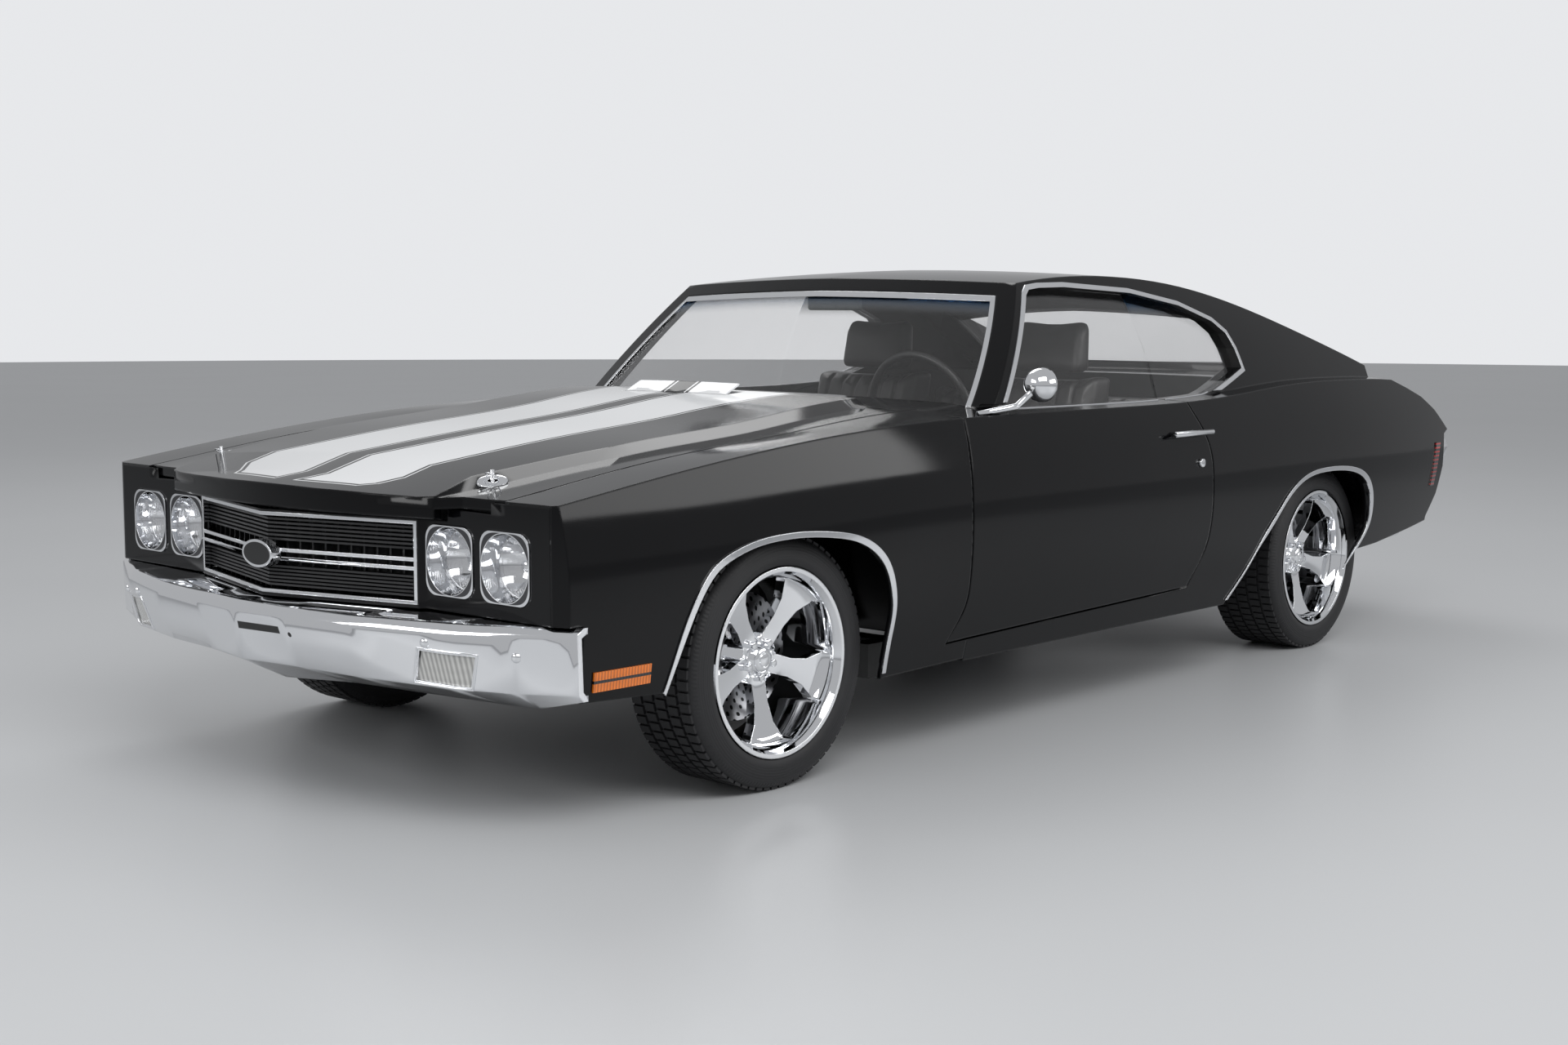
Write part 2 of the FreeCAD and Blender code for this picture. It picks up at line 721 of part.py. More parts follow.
def biggest(shape):
    return max(shape.Solids, key=lambda solid: abs(solid.Volume))


def slot_prism(inset):
    """The tall room between the sails in plan, narrowed by an inset."""
    points = [(behind(x), y - inset) for x, y in sail_points]
    far = -half_length * 2
    return plan_prism([(points[0][0], 0)] + points + [(far, points[-1][1]), (far, 0)], 0, roof_height * 2)


def pocket():
    """The slot between the sails that the rear window lies in, opening out to the boot lid."""
    return backlight_region(0).common(slot_prism(0))


def cabin_void():
    """The hollow over the belt, with the sails left whole beside the rear window."""
    hollow = upper_body(pillar_thickness, roof_thickness)
    room = block(-half_length * 2, behind(backlight_top_x), 0, half_width, 0, roof_height * 2)
    beside = room.cut(slot_prism(pillar_thickness / 2))
    past_glass = block(
        -half_length * 2, behind(backlight_base_x - overrun), 0, half_width, 0, roof_height * 2,
    )
    return hollow.cut([backlight_region(roof_thickness).common(beside), past_glass])


def upper_shell():
    """Roof, pillars and sail panels on the left, with their windows cut."""
    shape = upper_body().common(windshield_region(0)).common(tail_region(0))
    over_door = block(
        behind(door_rear_shares[0][0] * wheelbase) - shut_gap, half_length, cabin_half_width, half_width,
        0, window_sill_share * belt_height,
    )
    return shape.cut([pocket(), cabin_void(), window_zone(), over_door, lid_hole(), door_zone(shut_gap)])


@functools.cache
def lid_hole():
    """The boot's mouth, with a ledge for the lid to rest over."""
    return lid_zone(shut_gap).cut(lower_body(0, lid_recess).common(tail_region(lid_recess)))


@functools.cache
def lid_zone(grow=0.0):
    """The boot lid's outline in plan, widened by a distance, as a tall prism."""
    side = lid_half_width + grow
    front_x = behind(lid_front - grow)
    rear_x = behind(lid_rear + grow)
    foot = lid_foot - grow
    middle = V(rear_x - tail_bow * tail_bow_shares[0], side * tail_bow_shares[1], foot)
    edge = Part.Arc(V(rear_x, side, foot), middle, V(rear_x - tail_bow, 0, foot)).toShape()
    path = Part.makePolygon(
        [V(rear_x - tail_bow, 0, foot), V(front_x, 0, foot), V(front_x, side, foot), V(rear_x, side, foot)]
    )
    return upright(Part.Face(Part.Wire([edge] + list(path.Edges))).extrude(V(0, 0, roof_height)))


def lower_shell():
    """Quarters, rockers, cowl and tail on the left, round the cabin, the boot and the rear wheel."""
    reach = half_length * 2
    wide = half_width + overrun
    room = block(-reach, behind(hood_rear + shut_gap), 0, wide, 0, roof_height)
    outer = lower_body().common(tail_region(0)).common(room)
    cabin = block(behind(cabin_rear), behind(firewall_place), 0, cabin_half_width, 0, roof_height)
    boot_room = block(behind(trunk_rear), behind(trunk_front), 0, trunk_half_width, 0, roof_height)
    boot = lower_body(quarter_thickness, deck_thickness).common(boot_room).common(tail_region(quarter_thickness))
    under = block(-reach, behind(cabin_rear - overrun), 0, arch_depth, 0, trunk_floor - floor_thickness)
    under = under.common(tail_region(tail_wall))
    engine_bay = block(behind(firewall_place), half_length, 0, wide, 0, belt_height - overrun)
    fender_room = block(behind(firewall_place), half_length, hood_half_width, wide, 0, roof_height)
    hem = side_prism(outline(quarter_hem_shares), 0, wide)
    arch = arch_cutter(rear_arch_shares)
    doorway = door_sweep().translated(V(0, -overrun, 0))
    house = tube(
        V(rear_axle_x, arch_depth, axle_height), V(rear_axle_x, wheelhouse_outer, axle_height),
        wheelhouse_radius,
    )
    return outer.cut(
        [
            cabin, boot, under, engine_bay, fender_room, door_zone(shut_gap), arch, house, hem,
            lid_hole(), doorway,
        ]
    )


def body_shell():
    """One shell of roof, quarters, rockers, cowl and firewall, joined to its mirror image."""
    dash_x = behind(windshield_base_x + dash_depth)
    wall = behind(firewall_place + firewall_thickness)
    firewall_x = behind(firewall_place)
    pillar_y = hood_half_width - shut_gap
    pan_top = floor_height + floor_thickness + seat_gap
    sill_top = door_front_shares[1][1] * belt_height
    hinge_pillar = block(dash_x, firewall_x, pillar_y, cabin_half_width, pan_top, belt_height)
    firewall = block(wall, firewall_x, 0, pillar_y, floor_height, belt_height - shut_gap)
    tunnel = tube(V(wall - overrun, 0, floor_height), V(half_length, 0, floor_height), tunnel_radius)
    rocker_room = block(behind(cabin_rear), firewall_x, cabin_half_width, half_width, 0, sill_top)
    rocker = lower_body().common(rocker_room).cut([door_zone(shut_gap), arch_cutter(rear_arch_shares)])
    cowl_room = block(dash_x, firewall_x, 0, cabin_half_width, 0, roof_height)
    cowl = lower_body().cut(lower_body(0, firewall_thickness)).common(cowl_room)
    cowl = cowl.cut(windshield_region(cowl_reach))
    shape = lower_shell().fuse([upper_shell(), hinge_pillar, firewall.cut(tunnel), rocker, cowl])
    return whole(shape)


@functools.cache
def fender():
    """Left front fender: its skin, open below and inside, with its wheel opening."""
    outer = lower_body().common(nose_region(0))
    hollow = lower_body(skin_thickness, skin_thickness)
    lamp_bay = hollow.common(
        block(-half_length, half_length, 0, lamp_panel_half_width + seat_gap, 0, roof_height)
    )
    inner = hollow.common(nose_region(nose_wall))
    rear = behind(firewall_place) + seat_gap
    room = block(rear, half_length, hood_half_width + shut_gap, half_width + overrun, 0, roof_height)
    hem = side_prism(outline(fender_hem_shares), 0, half_width + overrun)
    nose_foot = block(front(lamp_room_back), half_length, 0, half_width, 0, lamp_panel_bottom)
    bumper_room = block(
        front(fender_foot_front), half_length, 0, body_width, 0, lamp_panel_bottom - seat_gap,
    )
    panel_top = front_panel_zone(seat_gap).fuse(bumper_room)
    nose_hem = side_prism(outline(fender_nose_shares), 0, half_width + overrun)
    tools = [
        inner, lamp_bay, arch_cutter(front_arch_shares), door_zone(shut_gap), hem, nose_hem, panel_top,
    ]
    return biggest(outer.common(room).cut(tools).cut(nose_foot.common(hollow)))


def front_panel_zone(grow=0.0):
    """The room of the lamp panel and header, before it is trimmed by the hood."""
    top = front_panel_top + grow
    wide = lamp_panel_half_width + grow
    return block(front(lamp_room_back) - grow, half_length, 0, wide, lamp_panel_bottom - grow, top)


def front_panel():
    """Lamp panel and header of the left half, with openings for lamps and grille."""
    face = lower_body(0, panel_drop).common(nose_region(0)).common(front_panel_zone())
    inner = nose_region(panel_wall)
    room = block(
        -half_length, half_length, 0, roof_height, lamp_panel_bottom + panel_wall,
        front_panel_top - panel_wall,
    )
    shell = face.cut(inner.common(room))
    opening = block(0, half_length, 0, grille_half_width, grille_low, grille_high)
    over_grille = block(0, half_length, 0, hood_lip_half_width, hood_lip_bottom - shut_gap, roof_height)
    tools = [opening, hood_envelope(shut_gap), over_grille]
    for y, z in lamp_places:
        tools.append(bezel_zone(y, z, seat_gap))
    return whole(biggest(shell.cut(tools)))


def hood_outline(grow):
    nose = [
        (front(x) + grow, y + (grow if index == 0 else 0))
        for index, (x, y) in enumerate(hood_nose_points)
    ]
    side = hood_half_width + grow
    nose[0] = (nose[0][0], side)
    return [(behind(hood_rear) - grow, side)] + nose + [(behind(hood_rear - hood_rear_bow) - grow, 0)]


def hood_lip_zone(grow=0.0):
    """The room of the hood's front edge, which hangs down to the grille."""
    ahead = plan_prism(hood_outline(grow), hood_lip_bottom - grow, roof_height)
    behind_lip = plan_prism(hood_outline(0), 0, roof_height).translated(V(-hood_lip_depth - grow, 0, 0))
    middle = block(0, half_length, 0, hood_lip_half_width + grow, 0, roof_height)
    return ahead.cut(behind_lip).common(middle)


def hood_envelope(grow):
    """All the room the hood takes, widened by a distance."""
    room = plan_prism(hood_outline(grow), 0, roof_height).cut(lower_body(0, hood_thickness + grow))
    return room.fuse(hood_lip_zone(grow).common(lower_body()))


def dome_zone():
    """A long wedge whose sides lean in, rising over the hood."""
    wires = []
    for x, wide, z in dome_places:
        lean = dome_slope / dome_rise * belt_height
        low = V(front(x), wide + lean, z - belt_height)
        high = V(front(x), wide - lean, z + belt_height)
        corners = [V(front(x), 0, z - belt_height), low, high, V(front(x), 0, z + belt_height)]
        wires.append(Part.makePolygon(corners + [corners[0]]))
    wedge = Part.makeLoft(wires, True, True)
    (x0, z0), (x1, z1) = dome_front_line
    reach = (half_length - front_axle_x)
    slope = (z1 - z0) / (x1 - x0)
    points = [
        (front(x0 + reach), z0 + slope * reach), (front(x1 - half_length), z1 - slope * half_length),
        (front(x1 - half_length), 0), (front(x0 + reach), 0),
    ]
    return wedge.common(side_prism(points, 0, half_width))


def hood():
    """Hood with its raised dome and the opening under the induction flap."""
    zone = plan_prism(hood_outline(0), 0, roof_height)
    slab = lower_body().cut(lower_body(0, hood_thickness)).common(zone)
    raised = lower_body().translated(V(0, 0, dome_rise + dome_lift)).common(dome_zone()).common(zone)
    lip = hood_lip_zone().common(lower_body())
    shape = slab.fuse([lip, raised.cut(lower_body(0, hood_thickness))])
    hole = block(
        front(flap_rear) - moving_gap, front(flap_front) + moving_gap, 0, flap_half_width + moving_gap,
        0, roof_height,
    )
    pin_hole = tube(
        V(front(pin_x), pin_y, 0), V(front(pin_x), pin_y, roof_height), pin_radius + moving_gap,
    )
    return whole(biggest(shape.cut([hole, pin_hole])))


def induction_flap():
    """The flap in the dome's rear, standing open about its front edge."""
    zone = block(front(flap_rear), front(flap_front), 0, flap_half_width, 0, roof_height)
    top = lower_body().translated(V(0, 0, dome_rise + dome_lift))
    plate = top.cut(top.translated(V(0, 0, -flap_thickness))).common(zone)
    shape = whole(plate)
    hinge = V(front(flap_front), 0, flap_hinge_z)
    return shape.rotated(hinge, V(0, 1, 0), flap_angle)


def trunk_lid():
    """The boot's lid, turned down at its rear edge."""
    inner = lower_body(0, lid_thickness).common(tail_region(lid_thickness))
    slab = lower_body().common(tail_region(0)).cut(inner).common(lid_zone(0))
    return whole(biggest(slab))


@functools.cache
def door_sweep():
    """The door's outline with its hem left off, for the core."""
    zone = door_zone()
    core = zone
    for dx, dz in ((door_hem, 0), (-door_hem, 0), (0, door_hem)):
        core = core.common(zone.translated(V(dx, 0, dz)))
    return core


def side_glass(grow=0.0):
    """A pane that follows the cab's side, made thicker by a distance on each face."""
    pane = upper_body(glass_inset - grow).cut(upper_body(glass_inset + glass_thickness + grow))
    room = block(-half_length, half_length, half_width / 2, half_width, 0, window_top_share * belt_height)
    return pane.common(room)


@functools.cache
def door():
    """Left door: a skin with a turned edge over a core as thick as the door, with a slot for its glass."""
    hem = lower_body().cut(lower_body(door_hem, door_hem)).common(door_zone())
    inner_y = cabin_half_width + door_reveal + moving_gap
    thick = block(-half_length, behind(door_core_front), inner_y, half_width, 0, roof_height)
    core = lower_body(door_reveal, 0).cut(
        lower_body(door_thickness, belt_height)
    ).common(door_sweep()).common(thick)
    slot_rear = behind(glass_split_share * wheelbase) - seat_gap
    slot_front = behind(window_front) + slot_room
    slot = side_glass(seat_gap).common(
        block(slot_rear, slot_front, 0, half_width, window_foot, roof_height)
    )
    return biggest(hem.fuse(core).cut(slot))


@functools.cache
def door_glass():
    split = behind(glass_split_share * wheelbase)
    room = block(split, half_length, 0, half_width, 0, roof_height)
    inner = window_zone(-moving_gap)
    foot = window_foot + seat_gap
    front_x = behind(window_front)
    below = side_prism(
        [(split, foot), (split, belt_height), (front_x, belt_height), (front_x, foot)], half_width / 2,
        half_width,
    )
    return biggest(side_glass().common(inner.fuse(below)).common(room))


def quarter_glass():
    split = behind(glass_split_share * wheelbase) - moving_gap
    room = block(-half_length, split, 0, half_width, 0, roof_height)
    low = lower_body().translated(V(0, 0, seat_gap))
    return biggest(side_glass().common(window_zone(-seat_gap)).common(room).cut(low))


def cab_hollow(inside):
    return upper_body(pillar_thickness + inside, roof_thickness + inside)


def windshield():
    """Curved glass between the front pillars, from the cowl to the header."""
    slab = windshield_region(glass_seat).cut(windshield_region(glass_seat + glass_thickness))
    return whole(slab.common(cab_hollow(seat_gap)).cut(lower_body().translated(V(0, 0, seat_gap))))


def backlight():
    """Rear window between the sails."""
    slab = backlight_region(glass_seat + glass_thickness).cut(backlight_region(glass_seat))
    ahead = block(
        behind(backlight_base_x - overrun) + seat_gap, half_length, 0, half_width, 0, roof_height,
    )
    between = slot_prism(pillar_thickness / 2 + seat_gap).common(ahead)
    low = lower_body().translated(V(0, 0, seat_gap))
    return whole(slab.common(cab_hollow(seat_gap)).common(between).cut(low))


def fixed_glass():
    pane = quarter_glass()
    return Part.makeCompound([windshield(), backlight(), pane, mirrored(pane)])


def window_trims():
    """Bright rings round the side windows, the windshield and the rear window."""
    ring = window_zone(trim_width).cut(window_zone(0))
    proud = upper_body(-trim_rise).cut(upper_body(-seat_gap))
    above = block(
        -half_length, half_length, 0, half_width, window_sill_share * belt_height + trim_width,
        roof_height,
    )
    side = proud.common(ring).common(above)
    rim = cab_hollow(seat_gap).cut(cab_hollow(seat_gap + trim_width))
    low = lower_body().translated(V(0, 0, seat_gap))
    front_slab = windshield_region(0).cut(windshield_region(glass_seat - seat_gap))
    front_ring = whole(front_slab.common(rim).cut(low))
    return Part.makeCompound([side, mirrored(side)] + front_ring.Solids)


def arch_trims():
    """Bright mouldings round the four wheel openings."""
    proud = lower_body(-trim_rise).cut(lower_body(-seat_gap))
    above = block(
        -half_length, half_length, 0, half_width + overrun, sill_height + trim_width, roof_height,
    )
    shapes = []
    for shares in (front_arch_shares, rear_arch_shares):
        ring = arch_cutter(shares, trim_width).cut(arch_cutter(shares))
        hems = [
            side_prism(outline(hem), 0, half_width + overrun)
            for hem in (fender_nose_shares, quarter_hem_shares)
        ]
        shapes.append(biggest(proud.common(ring).common(above).cut(hems)))
    return Part.makeCompound(shapes + [mirrored(shape) for shape in shapes])


def bumper_loft(wall=0.0):
    """Cross sections of the front bumper's left half joined by ruled faces, drawn in by a wall."""
    wires = []
    for y, back, top, ridge, brow, brow_z, knee, knee_z, foot, foot_z in front_bumper_sections:
        path = [
            (back - wall * 2, top - wall), (ridge - wall / 2, top - wall),
            (brow - wall, brow_z - wall / 2),
            (knee - wall, knee_z + wall / 2), (foot - wall / 2, foot_z + wall),
            (back - wall * 2, foot_z + wall),
        ]
        wires.append(flat_wire([V(front(x), y, z) for x, z in path]))
    return Part.makeLoft(wires, True, True)


def front_bumper():
    """Front bumper: a bright shell with a prow, open behind, with pockets for its lamps."""
    shell = bumper_loft().cut(bumper_loft(bumper_wall)).cut(parking_lamp_zone(seat_gap))
    body = lower_body(-seat_gap, -seat_gap).common(
        block(0, front(fender_foot_front) + seat_gap, 0, body_width, 0, roof_height)
    )
    return whole(biggest(shell.cut(body)))


def parking_lamp_zone(grow):
    wire = flat_wire([V(front_axle_x, y, z) for y, z in parking_lamp_points])
    face = Part.Face(wire)
    if grow:
        face = face.makeOffset2D(grow, join=2)
    return upright(face.extrude(V(half_length, 0, 0)))


def parking_lamps():
    """Lenses set in the front bumper."""
    outer = bumper_loft()
    skin_room = outer.translated(V(-trim_rise, 0, 0)).cut(outer.translated(V(-parking_lamp_depth, 0, 0)))
    return both_sides(biggest(skin_room.common(parking_lamp_zone(0))))


def side_markers():
    x0, x1, z0, z1 = marker_box
    lens = lower_body(-marker_rise).cut(lower_body(-seat_gap)).common(
        block(front(x0), front(x1), 0, half_width + overrun, z0, z1)
    )
    return both_sides(lens)


def rear_bumper_body():
    """The outline of the rear bumper at several heights, joined by ruled faces."""
    wires = []
    wide = half_width
    for (z, x), width in zip(rear_bumper_levels, rear_bumper_width_shares):
        edge = V(front(x), wide * width, z)
        middle = V(front(x) - rear_bumper_bow * tail_bow_shares[0], wide * tail_bow_shares[1], z)
        bow = Part.Arc(edge, middle, V(front(x) - rear_bumper_bow, 0, z)).toShape()
        base = front(x) + rear_bumper_depth
        path = Part.makePolygon(
            [V(front(x) - rear_bumper_bow, 0, z), V(base, 0, z), V(base, wide * width, z), edge]
        )
        wires.append(Part.Wire([bow] + list(path.Edges)))
    return Part.makeLoft(wires, True, True)


def tail_body():
    """The tail that the rear bumper wraps round, grown by the seat gap."""
    return lower_body(-seat_gap).common(tail_region(0).translated(V(-seat_gap, 0, 0)))


def tail_lamp_zone(grow):
    y0, y1, z0, z1 = tail_lamp_box
    return block(-half_length, behind(lid_rear), y0 - grow, y1 + grow, z0 - grow, z1 + grow)


def rear_bumper():
    outer = rear_bumper_body()
    pocket_room = outer.cut(
        outer.translated(V(tail_lamp_depth + seat_gap, 0, 0))
    ).common(tail_lamp_zone(seat_gap))
    return whole(biggest(outer.cut([tail_body(), pocket_room])))


def tail_lamps():
    outer = rear_bumper_body()
    lens = outer.translated(V(marker_rise, 0, 0)).cut(
        outer.translated(V(tail_lamp_depth, 0, 0))
    ).common(tail_lamp_zone(0))
    wire = side_prism([(front(x), z) for x, z in rear_marker_points], 0, half_width + overrun)
    marker = lower_body(-marker_rise).cut(lower_body(-seat_gap)).common(wire)
    marker = marker.cut(outer)
    parts = [biggest(lens.cut(tail_body())), biggest(marker)]
    return Part.makeCompound(parts + [mirrored(part) for part in parts])


def nose_strip(forward, depth, z0, z1):
    """A strip of the left half that follows the grille's V in plan."""
    (x1, y1), (x2, y2) = nose_points[-2], nose_points[-1]
    slope = (x1 - x2) / (y1 - y2)
    side = grille_half_width
    x_mid = x2 + forward
    x_side = x2 + slope * side + forward
    points = [
        (front(x_mid), 0), (front(x_side), side), (front(x_side - depth), side),
        (front(x_mid - depth), 0),
    ]
    return plan_prism(points, z0, z1)


def grille_bars():
    """Black grille bars in two tiers, with uprights behind them and a frame at each end."""
    strips = []
    tiers = (
        (grille_low, tier_split_low, lower_bar_count), (tier_split_high, grille_high, upper_bar_count),
    )
    for low, high, count in tiers:
        pitch = (high - low - bright_bar_height * 2) / (count + 1)
        for index in range(count):
            z = low + bright_bar_height + pitch * (index + 1) - bar_height / 2
            strips.append(nose_strip(-bar_depth, bar_depth, z, z + bar_height))
    back = nose_strip(-bar_depth * 2, bar_height, grille_low + seat_gap, grille_high - seat_gap)
    pitch = grille_half_width / upright_count
    for index in range(upright_count + 1):
        y = min(max(pitch * index - upright_width / 2, 0), grille_half_width - upright_width)
        room = block(0, half_length, y, y + upright_width, 0, roof_height)
        strips.append(
            nose_strip(
                -bar_depth * 2, bar_depth + bar_height, grille_low + seat_gap, grille_high - seat_gap,
            ).common(room)
        )
    shape = strips[0].fuse(strips[1:])
    return whole(shape.common(grille_room()))


def grille_room():
    side = grille_half_width - seat_gap
    return block(0, half_length, 0, side, grille_low + seat_gap, grille_high - seat_gap)


def grille_trim():
    """Bright bars at the top, in the middle and at the bottom of the grille, joined at their ends."""
    height = bright_bar_height
    levels = (grille_low, tier_split_low, tier_split_high - height, grille_high - height)
    strips = [nose_strip(0, bar_depth - seat_gap, z, z + height) for z in levels]
    end = block(0, half_length, grille_half_width - height, grille_half_width, 0, roof_height)
    strips.append(nose_strip(0, bar_depth - seat_gap, grille_low, grille_high).common(end))
    shape = whole(strips[0].fuse(strips[1:]).common(grille_room()))
    long_radius, short_radius = emblem_radii
    z = (tier_split_low + tier_split_high) / 2
    x = front(nose_points[-1][0] - emblem_depth)
    disc = Part.Face(Part.Wire(Part.Ellipse(V(x, 0, z), long_radius, short_radius).toShape()))
    disc.rotate(V(x, 0, z), V(0, 0, 1), 90)
    disc.rotate(V(x, 0, z), V(0, 1, 0), 90)
    return shape.fuse(upright(disc.extrude(V(emblem_depth * 2, 0, 0)))).removeSplitter()


def bezel_zone(y, z, grow=0.0):
    """A bar along X with round corners, where a lamp's surround sits in its panel."""
    half = bezel_half + grow
    bar = block(front(bezel_back), half_length, y - half, y + half, z - half, z + half)
    long_edges = [
        edge for edge in bar.Edges if abs(edge.Vertexes[0].X - edge.Vertexes[-1].X) > bezel_half
    ]
    return bar.makeFillet(bezel_corner + grow, long_edges)


def headlamp_bezels():
    """Bright square surrounds with round corners, each with a bowl behind its lens."""
    rims = []
    for y, z in lamp_places:
        rim = bezel_zone(y, z).common(nose_region(-bezel_rise))
        back = V(front(lens_place - lamp_bowl_depth), y, z)
        face = V(front(lens_place), y, z)
        bowl = tube(back, V(front(bezel_back + bezel_rise), y, z), lamp_bowl_radius)
        inside = tube(back + V(bezel_rise, 0, 0), V(half_length, y, z), lens_radius)
        flare = Part.makeCone(lens_radius, lens_radius + bezel_flare, lamp_flare_length, face, V(1, 0, 0))
        rims.append(rim.fuse(bowl).cut([inside, flare]))
    return Part.makeCompound(rims + [mirrored(rim) for rim in rims])


def headlamps():
    """Clear lenses with a slight bulge."""
    lenses = []
    for y, z in lamp_places:
        radius = lens_radius - seat_gap
        ball_radius = (radius ** 2 + lens_bulge ** 2) / (2 * lens_bulge)
        top = front(lens_place) + lens_bulge
        ball = Part.makeSphere(ball_radius, V(top - ball_radius, y, z))
        inside = Part.makeSphere(ball_radius, V(top - ball_radius - glass_thickness, y, z))
        room = tube(V(top - lens_bulge * 3, y, z), V(top, y, z), radius)
        lenses.append(ball.cut(inside).common(room))
    return Part.makeCompound(lenses + [mirrored(lens) for lens in lenses])


def tapered_rail(points):
    wires = []
    for x, y, z in points:
        low, high = z - rail_height / 2, z + rail_height / 2
        near, far = y - rail_width / 2, y + rail_width / 2
        corners = [
            V(front(x), near, low), V(front(x), far, low), V(front(x), far, high),
            V(front(x), near, high),
        ]
        wires.append(Part.makePolygon(corners + [corners[0]]))
    return Part.makeLoft(wires, True, True)


def chassis_frame():
    """Two side rails that kick up over the rear axle, tied by crossmembers, with bumper brackets ahead."""
    rail = tapered_rail(rail_points).fuse(front_block(bumper_bracket_box))
    parts = [rail, mirrored(rail)]
    for x0, x1, y, z0, z1 in crossmember_boxes:
        parts.append(block(front(x0), front(x1), -y - rail_width / 2, y + rail_width / 2, z0, z1))
    return parts[0].fuse(parts[1:]).removeSplitter()


def floor_pan():
    """Cabin floor with its tunnel, the step at the rear seat and the boot's floor."""
    pan = front_block(floor_box)
    start, end = V(front(floor_box[0]), 0, floor_height), V(front(floor_box[1]), 0, floor_height)
    tunnel = tube(start, end, tunnel_radius)
    inside = tube(start - V(overrun, 0, 0), end + V(overrun, 0, 0), tunnel_radius - tunnel_wall)
    above = block(-half_length, half_length, 0, half_width, floor_height, roof_height)
    heel = front_block(heel_box)
    shelf = front_block(seat_floor_box)
    shape = pan.fuse([tunnel.common(above), heel, shelf]).cut(inside)
    boot = front_block(trunk_floor_box)
    return Part.makeCompound([whole(shape), whole(boot)])


def engine():
    """One plain block with an air cleaner on top."""
    body = front_block(engine_box)
    x = front((engine_box[0] + engine_box[1]) / 2)
    top = engine_box[5]
    cleaner = tube(V(x, 0, top), V(x, 0, top + intake_height), intake_radius)
    sump = front_block(
        (
            engine_box[0] + overrun, -rail_width * 2, engine_box[2] / 2, engine_box[3] / 2, sump_low,
            engine_box[4],
        )
    )
    return body.fuse([cleaner, sump]).removeSplitter()


def radiator():
    """Radiator in its support between the inner fenders."""
    return front_block(support_box)


def driveline():
    box = front_block(transmission_box)
    start = V(front(transmission_box[0]), 0, shaft_front_z)
    end = V(rear_axle_x + differential_radius + seat_gap, 0, axle_height)
    return box.fuse(tube(start, end, shaft_radius)).removeSplitter()


def rear_axle():
    """Axle tubes with the differential, drums' backing plates, springs and dampers."""
    ends = V(rear_axle_x, axle_end_y, axle_height)
    beam = tube(V(rear_axle_x, 0, axle_height), ends, axle_tube_radius)
    casing = Part.makeSphere(differential_radius, V(rear_axle_x, 0, axle_height))
    spring_x = rear_axle_x
    perch = tube(V(spring_x, spring_y, axle_height), V(spring_x, spring_y, spring_top), coil_radius)
    shape = beam.fuse(
        [casing.common(block(-half_length, half_length, 0, half_width, 0, roof_height)), perch]
    )
    return whole(shape)


def exhaust():
    """Twin pipes with mufflers and bright tips."""
    parts = []
    points = [front_point(point) for point in pipe_points]
    for start, end in zip(points, points[1:]):
        parts.append(tube(start, end, pipe_radius))
        parts.append(Part.makeSphere(pipe_radius + pipe_bead, end))
    parts.append(front_block(muffler_box))
    way = (points[-1] - points[-2]).normalize()
    tip = tube(points[-1] - way * tip_length, points[-1] + way * pipe_radius, tip_radius)
    bore = tube(points[-1] - way * pipe_radius, points[-1] + way * tip_length, pipe_radius)
    parts.append(tip)
    pipe = parts[0].fuse(parts[1:]).cut(bore)
    return both_sides(pipe)


def fuel_tank():
    return front_block(tank_box)


def arm(points, thickness, radius):
    """A flat A-shaped arm from two inner pivots to its ball joint."""
    bars = []
    outer = front_point(points[2])
    for point in points[:2]:
        inner = front_point(point)
        bars.append(tube(inner, outer, thickness / 2))
        bars.append(tube(inner - V(radius, 0, 0), inner + V(radius, 0, 0), radius))
    bars.append(Part.makeSphere(radius, outer))
    return bars[0].fuse(bars[1:])


def front_suspension():
    """Lower and upper arms with their springs and the steering linkage, both sides."""
    lower = arm(lower_arm_points, arm_thickness, arm_radius)
    upper = arm(upper_arm_points, arm_thickness, arm_radius)
    spring = tube(V(front_axle_x, coil_y, coil_low), V(front_axle_x, coil_y, coil_high), coil_radius)
    return both_sides(lower.fuse([spring, upper]))


def inner_fenders():
    """Wheel housings of the front wheels, as half round liners with a wall to the engine bay."""
    x, z = front_axle_x, liner_center_height
    outer = tube(V(x, liner_inner_y, z), V(x, liner_outer_y, z), liner_radius)
    inside = tube(
        V(x, liner_inner_y + liner_wall, z), V(x, liner_outer_y + liner_wall, z),
        liner_radius - liner_wall,
    )
    above = block(-half_length, half_length, 0, half_width, liner_bottom, roof_height)
    liner = outer.cut(inside).common(above).fuse(front_block(liner_foot_box))
    arm_room = block(
        x - coil_radius * 3, x + coil_radius * 3, 0, coil_y + coil_radius * 2, 0, arm_room_top,
    )
    return both_sides(biggest(liner.cut(arm_room)))


def spun(profile):
    """A ring turned about Y from (radius, y) pairs."""
    wire = flat_wire([V(r, y, 0) for r, y in profile])
    return Part.Face(wire).revolve(V(0, 0, 0), V(0, 1, 0), 360)


